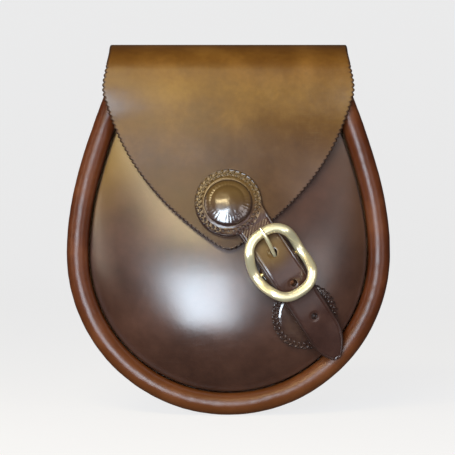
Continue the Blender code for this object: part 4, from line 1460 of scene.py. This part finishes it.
    def boss(self) -> None:
        """The leather boss on the rosette, pleated finely where it is drawn over its former."""
        form = self.form
        place = form.local_frame(form.flap_middle, *self.rosette_place,
                                 form.hide * 1.5 + 3.6 * form.gap)
        rim, low = self.boss_radius - 0.0001, self.boss_hide * 0.25
        up = place.to_3x3().transposed() @ Vector((0, 0, 1))
        upwards = math.atan2(up.y, up.x)
        net = []
        for r in steps(0.0003, rim, 48):
            z = low + (self.boss_height - self.boss_hide / 2 - low) * (1 - (r / rim) ** 2)
            ring = []
            for k in range(156):
                a = 2 * math.pi * k / 156
                pleat = abs(math.sin(19 * a + 0.6 * math.sin(3 * a))) - 0.6
                sunk = self.boss_pleat_depth * pleat * smooth((r - 0.0075) / 0.0050)
                upper = 0.25 + 0.75 * smooth(0.45 + 0.8 * math.cos(a - upwards))
                sunk -= self.boss_crease_depth * upper * hump(r - self.boss_crease, 0.0013)
                wave = 0.0002 * noise.noise(Vector((r * 160, a, 2.0))) * smooth(r / 0.004)
                ring.append(place @ Vector((r * math.cos(a), r * math.sin(a), z + sunk + wave)))
            net.append(ring)
        mesh = sheet_mesh("boss", np.array(net), self.boss_hide, place.to_3x3() @ Vector((0, 0, 1)),
                          round_columns=True, rounding=0.0030)
        placed("boss", mesh, (self.finishes.tooled, self.finishes.flesh, self.finishes.edge),
               Body.FLAP, ("boss_cap",))
        refinished("boss_former", self.finishes.raw)

    def build(self, buckle: "Buckle") -> None:
        """Builds the strap."""
        self.billet(buckle)
        self.beads()
        self.boss()


@dataclass
class Buckle:
    """The oval frame with its centre bar, and the tongue, in the bar's frame."""

    form: BagForm
    finishes: Finishes
    seat_across: float = -0.0015
    bar_radius: float = 0.0015
    bar_half_length: float = 0.0169
    half_length: float = 0.02275
    half_width: float = 0.01755
    squareness: float = 2.6
    rim: float = 0.00325
    thickness: float = 0.0027
    height: float = 0.0119
    saddle_depth: float = 0.0075
    saddle_half_length: float = 0.0165
    tongue_radius: float = 0.0012
    hook_thinning: float = 0.6
    tongue_tip_along: float = -0.0255

    @property
    def loop_radius(self) -> float:
        """The radius of the leather loop's inner side."""
        return self.bar_radius + self.form.gap

    @property
    def bar_height(self) -> float:
        """The bar's height over the front panel."""
        return self.form.gap + self.form.chape_hide + self.loop_radius

    @cached_property
    def seat(self) -> Matrix:
        """The frame on the panel under the bar."""
        form = self.form
        return form.local_frame(form.panel_middle, 0, self.seat_across, form.hide / 2)

    @property
    def bar_frame(self) -> Matrix:
        """The bar's own frame: X down the strap, Y along the bar, Z out of the bag."""
        return self.seat @ Matrix.Translation((0, 0, self.bar_height))

    def oval(self) -> None:
        """The wide, softly rounded frame, saddled down at its sides to the bar."""
        stations, section, rings = 240, 32, []
        place, power = self.bar_frame, self.squareness - 1
        for k in range(stations):
            turn = 2 * math.pi * k / stations
            c, s = math.cos(turn), math.sin(turn)
            along = self.half_length * math.copysign(abs(c) ** (2 / self.squareness), c)
            across = self.half_width * math.copysign(abs(s) ** (2 / self.squareness), s)
            out = Vector((math.copysign(abs(along / self.half_length) ** power, along)
                          / self.half_length,
                          math.copysign(abs(across / self.half_width) ** power, across)
                          / self.half_width, 0)).normalized()
            dip = max(1 - (along / self.saddle_half_length) ** 2, 0) ** 2 * self.saddle_depth
            centre = Vector((along, across, self.height - dip - self.bar_height))
            ring = []
            for j in range(section):
                a = 2 * math.pi * j / section
                wide = math.copysign(abs(math.cos(a)) ** 0.86, math.cos(a))
                tall = math.copysign(abs(math.sin(a)) ** 0.92, math.sin(a))
                ring.append(place @ (centre + out * self.rim * wide
                                     + Vector((0, 0, self.thickness * tall))))
            rings.append(ring)
        mesh = swept_mesh("oval", np.array(rings), closed=True)
        placed("buckle_oval", mesh, (self.finishes.brass,), Body.BUCKLE,
               ("buckle_frame",))
        across_axis = place @ Matrix.Rotation(math.radians(-90), 4, "X")
        r, end = self.bar_radius, self.bar_half_length
        profile = [(0, -end), (r * 0.9, -end), (r, -end + 0.0002), (r, end - 0.0002),
                   (r * 0.9, end), (0, end)]
        bar = turned_solid("bar", profile, across_axis, 40)
        # The centre bar takes the darker brass: painted shade between the frame and the strap.
        placed("buckle_centre_bar", bar, (self.finishes.dull_brass,), Body.BUCKLE,
               ("buckle_bar",))

    def tongue_solid(self, name: str, grow: float, tip_round: float,
                     rise_only: bool = False, swing: float = 0.0) -> bpy.types.Mesh:
        """The tongue as a bent wire, thinner round the bar and towards its tip.

        Args:
            name: the mesh's name.
            grow: how much thicker than the real one it is, to cut its slot with.
            tip_round: how long the rounded tip is.
            rise_only: leaves out the hook round the bar.
            swing: how far it is turned about the bar.

        Returns:
            The mesh.
        """
        thin, radius = self.hook_thinning, self.tongue_radius
        hook = self.loop_radius + radius * thin
        around = [Vector((hook * math.sin(a), hook * math.cos(a)))
                  for a in (math.radians(-285 + 285 * k / 30) for k in range(30))]
        rest = self.height + self.thickness + radius + self.form.gap - self.bar_height
        ends = ((0, hook), (-0.007, hook), (-0.014, rest + 0.0006), (self.tongue_tip_along, rest))
        rise = [bezier(ends, t) for t in steps(0, 1, 42)]
        sizes = [thin] * (len(around) + 1)
        sizes += [eased(((1, thin), (5, 1.0), (12, 1.0), (14, 0.62)), k / 3)
                  for k in range(1, len(rise))]
        line = [Vector((p.x, 0, p.y)) for p in (rise if rise_only else around + rise)]
        if rise_only:
            sizes = [1.0] * len(rise)
        rings = []
        for k, at in enumerate(line):
            ahead = (line[min(k + 1, len(line) - 1)] - line[max(k - 1, 0)]).normalized()
            side = Vector((0, 1, 0))
            size = radius * sizes[k] + grow
            rings.append(ring_of(at, side, ahead.cross(side), size, 20))
        if tip_round:
            ahead, side = (line[-1] - line[-2]).normalized(), Vector((0, 1, 0))
            rings += [ring_of(line[-1] + ahead * tip_round * math.sin(b), side, ahead.cross(side),
                              radius * sizes[-1] * math.cos(b), 20)
                      for b in steps(0, math.pi / 2 * 0.92, 6)[1:]]
        place = self.bar_frame @ Matrix.Rotation(swing, 4, "Y")
        return swept_mesh(name, np.array([[place @ p for p in ring] for ring in rings]))

    def build(self) -> None:
        """Builds the buckle and its tongue."""
        self.oval()
        mesh = self.tongue_solid("tongue", 0.0, 0.0007)
        placed("tongue", mesh, (self.finishes.brass,), Body.TONGUE, ("buckle_tongue",))


@dataclass
class Chape:
    """The leather that holds the buckle: a scalloped rosette and a loop round the bar."""

    form: BagForm
    finishes: Finishes
    rosette_place: tuple[float, float] = (0.038, -0.0048)
    radius: float = 0.022
    neck: float = 0.013
    scallops: int = 34
    scallop_depth: float = 0.0016
    slot_half: float = 0.0021

    def line(self, buckle: Buckle) -> list[tuple[float, float]]:
        """(along, height over the panel) from the rosette's far end, round the bar and back."""
        form, (start, _) = self.form, self.rosette_place
        middle = buckle.loop_radius + form.chape_hide / 2
        low = form.gap + form.chape_hide / 2
        high = low + form.chape_hide + form.gap
        line = [(start + self.radius * math.cos(a), low) for a in steps(0.06, math.pi / 2, 60)]
        line += [(along, low) for along in steps(start, 0.0175, 44)[1:]]
        line += [(along, low) for along in steps(0.0175, 0.0, 30)[1:]]
        line += [(-middle * math.sin(a), buckle.bar_height - middle * math.cos(a))
                 for a in steps(0, math.pi, 26)[1:]]
        ramp = ((0.0, buckle.bar_height + middle), (0.0035, high + 0.0024), (0.007, high + 0.0006),
                (0.010, high), (0.0175, high))
        line += [(along, eased(ramp, along)) for along in steps(0, 0.0175, 30)[1:]]
        return line

    def edge_at(self, along: float, across: float) -> tuple[float, float]:
        """A place on the rosette's rim, moved to the scalloped outline."""
        u, v = along - self.rosette_place[0], across - self.rosette_place[1]
        r = math.hypot(u, v)
        bite = self.scallop_depth * (1 - abs(math.sin(self.scallops / 2 * math.atan2(v, u))) ** 0.8)
        return along - bite * u / r, across - bite * v / r

    def laid(self, buckle: Buckle, along: float, across: float, height: float) -> Vector:
        """A point at a height over the panel, or over the buckle's seat near the bar."""
        form = self.form
        straight = buckle.seat @ Vector((along, across, height))
        on_panel = form.in_front(form.panel_middle, *form.strap_place(along, across),
                                 form.hide / 2 + height)
        return straight.lerp(on_panel, smooth((along - 0.002) / 0.008))

    def build(self, buckle: Buckle) -> None:
        """Builds the leather and the beads of its rosette."""
        rosette = Rosette(self.form, self.rosette_place, self.radius)
        ts, line = sheet_columns(40), self.line(buckle)
        start = self.rosette_place[0]
        net, relief = np.zeros((len(line), len(ts), 3)), np.zeros((len(line), len(ts)))
        for k, (along, height) in enumerate(line):
            chord = math.sqrt(max(self.radius ** 2 - (along - start) ** 2, 0))
            low, high, on_disc = -self.neck, self.neck, k < 105
            if on_disc:
                low, high = self.rosette_place[1] - chord, self.rosette_place[1] + chord
                if along < start:
                    low, high = min(low, -self.neck), max(high, self.neck)
            on_rim = on_disc and (along >= start or chord > self.neck)
            for j, t in enumerate(ts):
                across = (low + high) / 2 + t * (high - low) / 2
                u, v = along, across
                if on_rim:
                    near = smooth((abs(t) - 1) * (high - low) / 2 / 0.004 + 1)
                    rim_u, rim_v = self.edge_at(along, high if t > 0 else low)
                    u += near * (rim_u - along)
                    v += near * (rim_v - (high if t > 0 else low))
                net[k, j] = self.laid(buckle, u, v, height)
                relief[k, j] = rosette.relief(u, v) if on_disc else 0.0
        mesh = sheet_mesh("chape", net, self.form.chape_hide, (0, -1, 0), relief, rounding=0.0008)
        box = bpy.data.meshes.new("tongue_gap")
        bm = bmesh.new()
        bmesh.ops.create_cube(bm, size=1)
        bmesh.ops.scale(bm, vec=(0.0110, 2 * self.slot_half, 0.014), verts=bm.verts)
        bm.transform(buckle.seat @ Matrix.Translation((-0.0010, 0, buckle.bar_height)))
        bm.to_mesh(box)
        bm.free()
        finished(mesh, self.finishes.tooled, self.finishes.body, self.finishes.edge)
        placed("buckle_chape", cut_mesh(mesh, [box]), (), Body.BAG, ("chape",))

        def top(along: float, across: float) -> Vector:
            """A point on the grain side."""
            return self.laid(buckle, along, across, self.form.gap + self.form.chape_hide - 0.0002)

        beads = Repeats(Shape.BEAD, *rosette.bead_size).mesh("beads", rosette.frames(top),
                                                             self.finishes.beaded)
        placed("lower_rosette_beads", beads, (), Body.BAG, ())


@dataclass
class BeltLoop:
    """The loop for a waist belt behind the back, with its creases and rivets."""

    form: BagForm
    finishes: Finishes
    half_width: float = 0.0275
    slot_depth: float = 0.006
    slot_half_height: float = 0.026
    bend: float = 0.0045
    tab: float = 0.014
    rivet_x: float = 0.017
    rivet_rise: float = 0.0385
    head_radius: float = 0.004
    head_height: float = 0.0013
    burr_radius: float = 0.0036

    def build(self) -> None:
        """Builds the loop, its rivet heads and the burrs inside the bag."""
        form = self.form
        on_back = form.back_rear_y + form.gap + form.hide / 2
        out = self.slot_depth / 2 + form.hide / 2
        turn = self.slot_half_height + form.hide / 2 - self.bend
        foot = turn + self.bend + 0.004
        half = [(on_back, z) for z in steps(turn + self.bend + self.tab, foot, 24)]
        half += [(on_back + 0.0006 * smooth(t), foot - 0.0028 * t)
                 for t in steps(0, 1, 6)[1:]]
        start = half[-1]
        arc = [(out - self.bend + self.bend * math.sin(a), turn + self.bend * math.cos(a))
               for a in steps(0, math.pi / 2, 16)]
        half += [(start[0] + (arc[0][0] - start[0]) * t, start[1] + (arc[0][1] - start[1]) * t)
                 for t in (0.33, 0.66)]
        half += arc + [(out, z) for z in steps(turn, 0, 20)[1:]]
        line = half + [(y, -z) for y, z in half[-2::-1]]
        top, corner, ts = half[0][1], 0.005, sheet_columns(36)
        net = []
        for y, z in line:
            into = min(max((abs(z) - (top - corner)) / corner, 0), 0.9999)
            wide = self.half_width - corner * (1 - math.sqrt(1 - into ** 2))
            net.append([(wide * t, y, z) for t in ts])
        points = np.array(net)
        edge = edge_distances(points, False)
        relief = -0.0003 * np.exp(-((edge - 0.0026) / 0.00045) ** 2)
        mesh = sheet_mesh("belt_loop", points, form.hide, (0, 1, 0), relief)
        placed("belt_loop_strap", mesh, (self.finishes.body, self.finishes.flesh,
                                         self.finishes.edge), Body.BAG, ("belt_loop",))
        spots = [(x, z) for z in (self.rivet_rise, -self.rivet_rise)
                 for x in (-self.rivet_x, self.rivet_x)]
        head_y = on_back + form.hide / 2 + form.gap
        heads = [surface_frame(Vector((x, head_y, z)), Vector((1, 0, 0)), Vector((0, 1, 0)))
                 for x, z in spots]
        size = 2 * self.head_radius
        mesh = Repeats(Shape.DOME, size, size, 2 * self.head_height, 40).mesh(
            "rivet_heads", heads, self.finishes.copper)
        placed("belt_loop_rivet_heads", mesh, (), Body.BAG,
               [f"belt_loop_rivet_{n}" for n in range(1, 5)])
        inner_y = form.back_rear_y - form.hide - form.gap - 0.0005
        burrs = [surface_frame(Vector((x, inner_y, z)), Vector((1, 0, 0)), Vector((0, -1, 0)))
                 for x, z in spots]
        size = 2 * self.burr_radius
        mesh = Repeats(Shape.WASHER, size, size, 0.0019, 40).mesh(
            "rivet_burrs", burrs, self.finishes.copper)
        placed("belt_loop_rivet_burrs", mesh, (), Body.BAG,
               [f"belt_loop_burr_{n}" for n in range(1, 5)])


def dress_hidden_rivets(finishes: Finishes) -> None:
    """Gives the CAD rivets that stay, under the boss and the strap, a darker copy of the copper:
    painted shade.
    """
    for name in ("boss_rivet", "boss_burr", "chape_rivet", "chape_burr"):
        refinished(name, finishes.dark_copper)


# ---------------------------------------------------------------- studio

@dataclass
class Studio:
    """A pale seamless floor, soft lights and the camera.

    The floor glows more where the camera sees it than where it lights the bag, and shows in no
    reflection, so that the lower part of the front light does.
    """

    floor_z: float = -0.1905
    camera_place: tuple[float, float, float] = (-0.0006, -1.25, -0.0653)
    lens: float = 142.4

    def floor(self) -> None:
        """A floor that sweeps up into a wall far behind."""
        profile = [(-4.5, 0.0), (2.2, 0.0)]
        profile += [(2.2 + 0.9 * math.sin(a), 0.9 - 0.9 * math.cos(a))
                    for a in steps(0, math.pi / 2, 16)[1:]]
        profile += [(3.1, 4.0)]
        rows = [[(x, y, z + self.floor_z) for x in (-4.5, 4.5)] for y, z in profile]
        mesh = bpy.data.meshes.new("floor")
        mesh.from_pydata([p for row in rows for p in row], [], net_faces(len(rows), 2))
        mesh.shade_smooth()
        bench = Bench("pale_floor")
        tone = bench.mix(bench.noise(3, 2), (0.17, 0.17, 0.18), (0.19, 0.19, 0.20))
        seen = bench.node("LightPath", {}, {}, "Is Camera Ray")
        glow = bench.mix(seen, (0.35, 0.35, 0.35), (1.0, 1.0, 1.0))
        mesh.materials.append(bench.finish(
            Base_Color=tone, Roughness=0.9, Specular_IOR_Level=0.1,
            Emission_Color=glow, Emission_Strength=0.77))
        thing = bpy.data.objects.new("floor", mesh)
        thing.visible_glossy = False
        bpy.context.scene.collection.objects.link(thing)

    def light(self, name: str, place: Sequence[float], target: Sequence[float],
              size: tuple[float, float], power: float, colour: Colour) -> None:
        """A soft box that faces a point."""
        data = bpy.data.lights.new(name, "AREA")
        data.shape, data.size, data.size_y = "RECTANGLE", *size
        data.energy, data.color = power, colour
        lamp = bpy.data.objects.new(name, data)
        bpy.context.scene.collection.objects.link(lamp)
        lamp.location = place
        lamp.rotation_mode = "QUATERNION"
        lamp.rotation_quaternion = (Vector(target) - Vector(place)).to_track_quat("-Z", "Y")

    def build(self) -> None:
        """Sets up the floor, the lights, the world and the camera."""
        self.floor()
        middle = (0, -0.05, -0.07)
        self.light("front_soft", (-0.30, -1.42, -0.15), middle, (0.74, 0.80), 50.0,
                   (0.76, 0.88, 1.0))
        self.light("warm_above", (-0.30, -0.95, 0.62), middle, (0.60, 0.26), 8.0,
                   (1.0, 0.80, 0.45))
        self.light("left_strip", (-1.2, -0.5, 0.25), middle, (0.25, 0.7), 2.8,
                   (1.0, 0.84, 0.68))
        self.light("right_strip", (0.85, -1.10, 0.10), middle, (0.40, 0.7), 3.6,
                   (1.0, 0.95, 0.96))
        world = bpy.data.worlds.new("studio")
        world.use_nodes = True
        nodes, links = world.node_tree.nodes, world.node_tree.links
        shade, seen = nodes["Background"], nodes.new("ShaderNodeLightPath")
        shade.inputs["Color"].default_value = (1.0, 0.99, 0.97, 1)
        strength = nodes.new("ShaderNodeMapRange")
        strength.inputs["To Min"].default_value = 0.07
        strength.inputs["To Max"].default_value = 0.84
        links.new(seen.outputs["Is Camera Ray"], strength.inputs["Value"])
        links.new(strength.outputs["Result"], shade.inputs["Strength"])
        scene = bpy.context.scene
        scene.world = world
        scene.view_settings.view_transform = "Standard"
        data = bpy.data.cameras.new("camera")
        data.lens, data.sensor_width = self.lens, 36.0
        camera = bpy.data.objects.new("camera", data)
        scene.collection.objects.link(camera)
        camera.location = self.camera_place
        camera.rotation_euler = (math.radians(90), 0, 0)
        scene.camera = camera


def main() -> None:
    """Builds the bag from the back to the buckle, then the studio."""
    logging.basicConfig(level=logging.INFO, format="%(name)s %(message)s")
    form, finishes = BagForm(), Finishes()
    buckle = Buckle(form, finishes)
    Pouch(form, finishes).build()
    BackAndFlap(form, finishes).build()
    BeltLoop(form, finishes).build()
    Chape(form, finishes).build(buckle)
    buckle.build()
    Strap(form, finishes).build(buckle)
    dress_hidden_rivets(finishes)
    Studio().build()


if __name__ == "__main__":
    main()
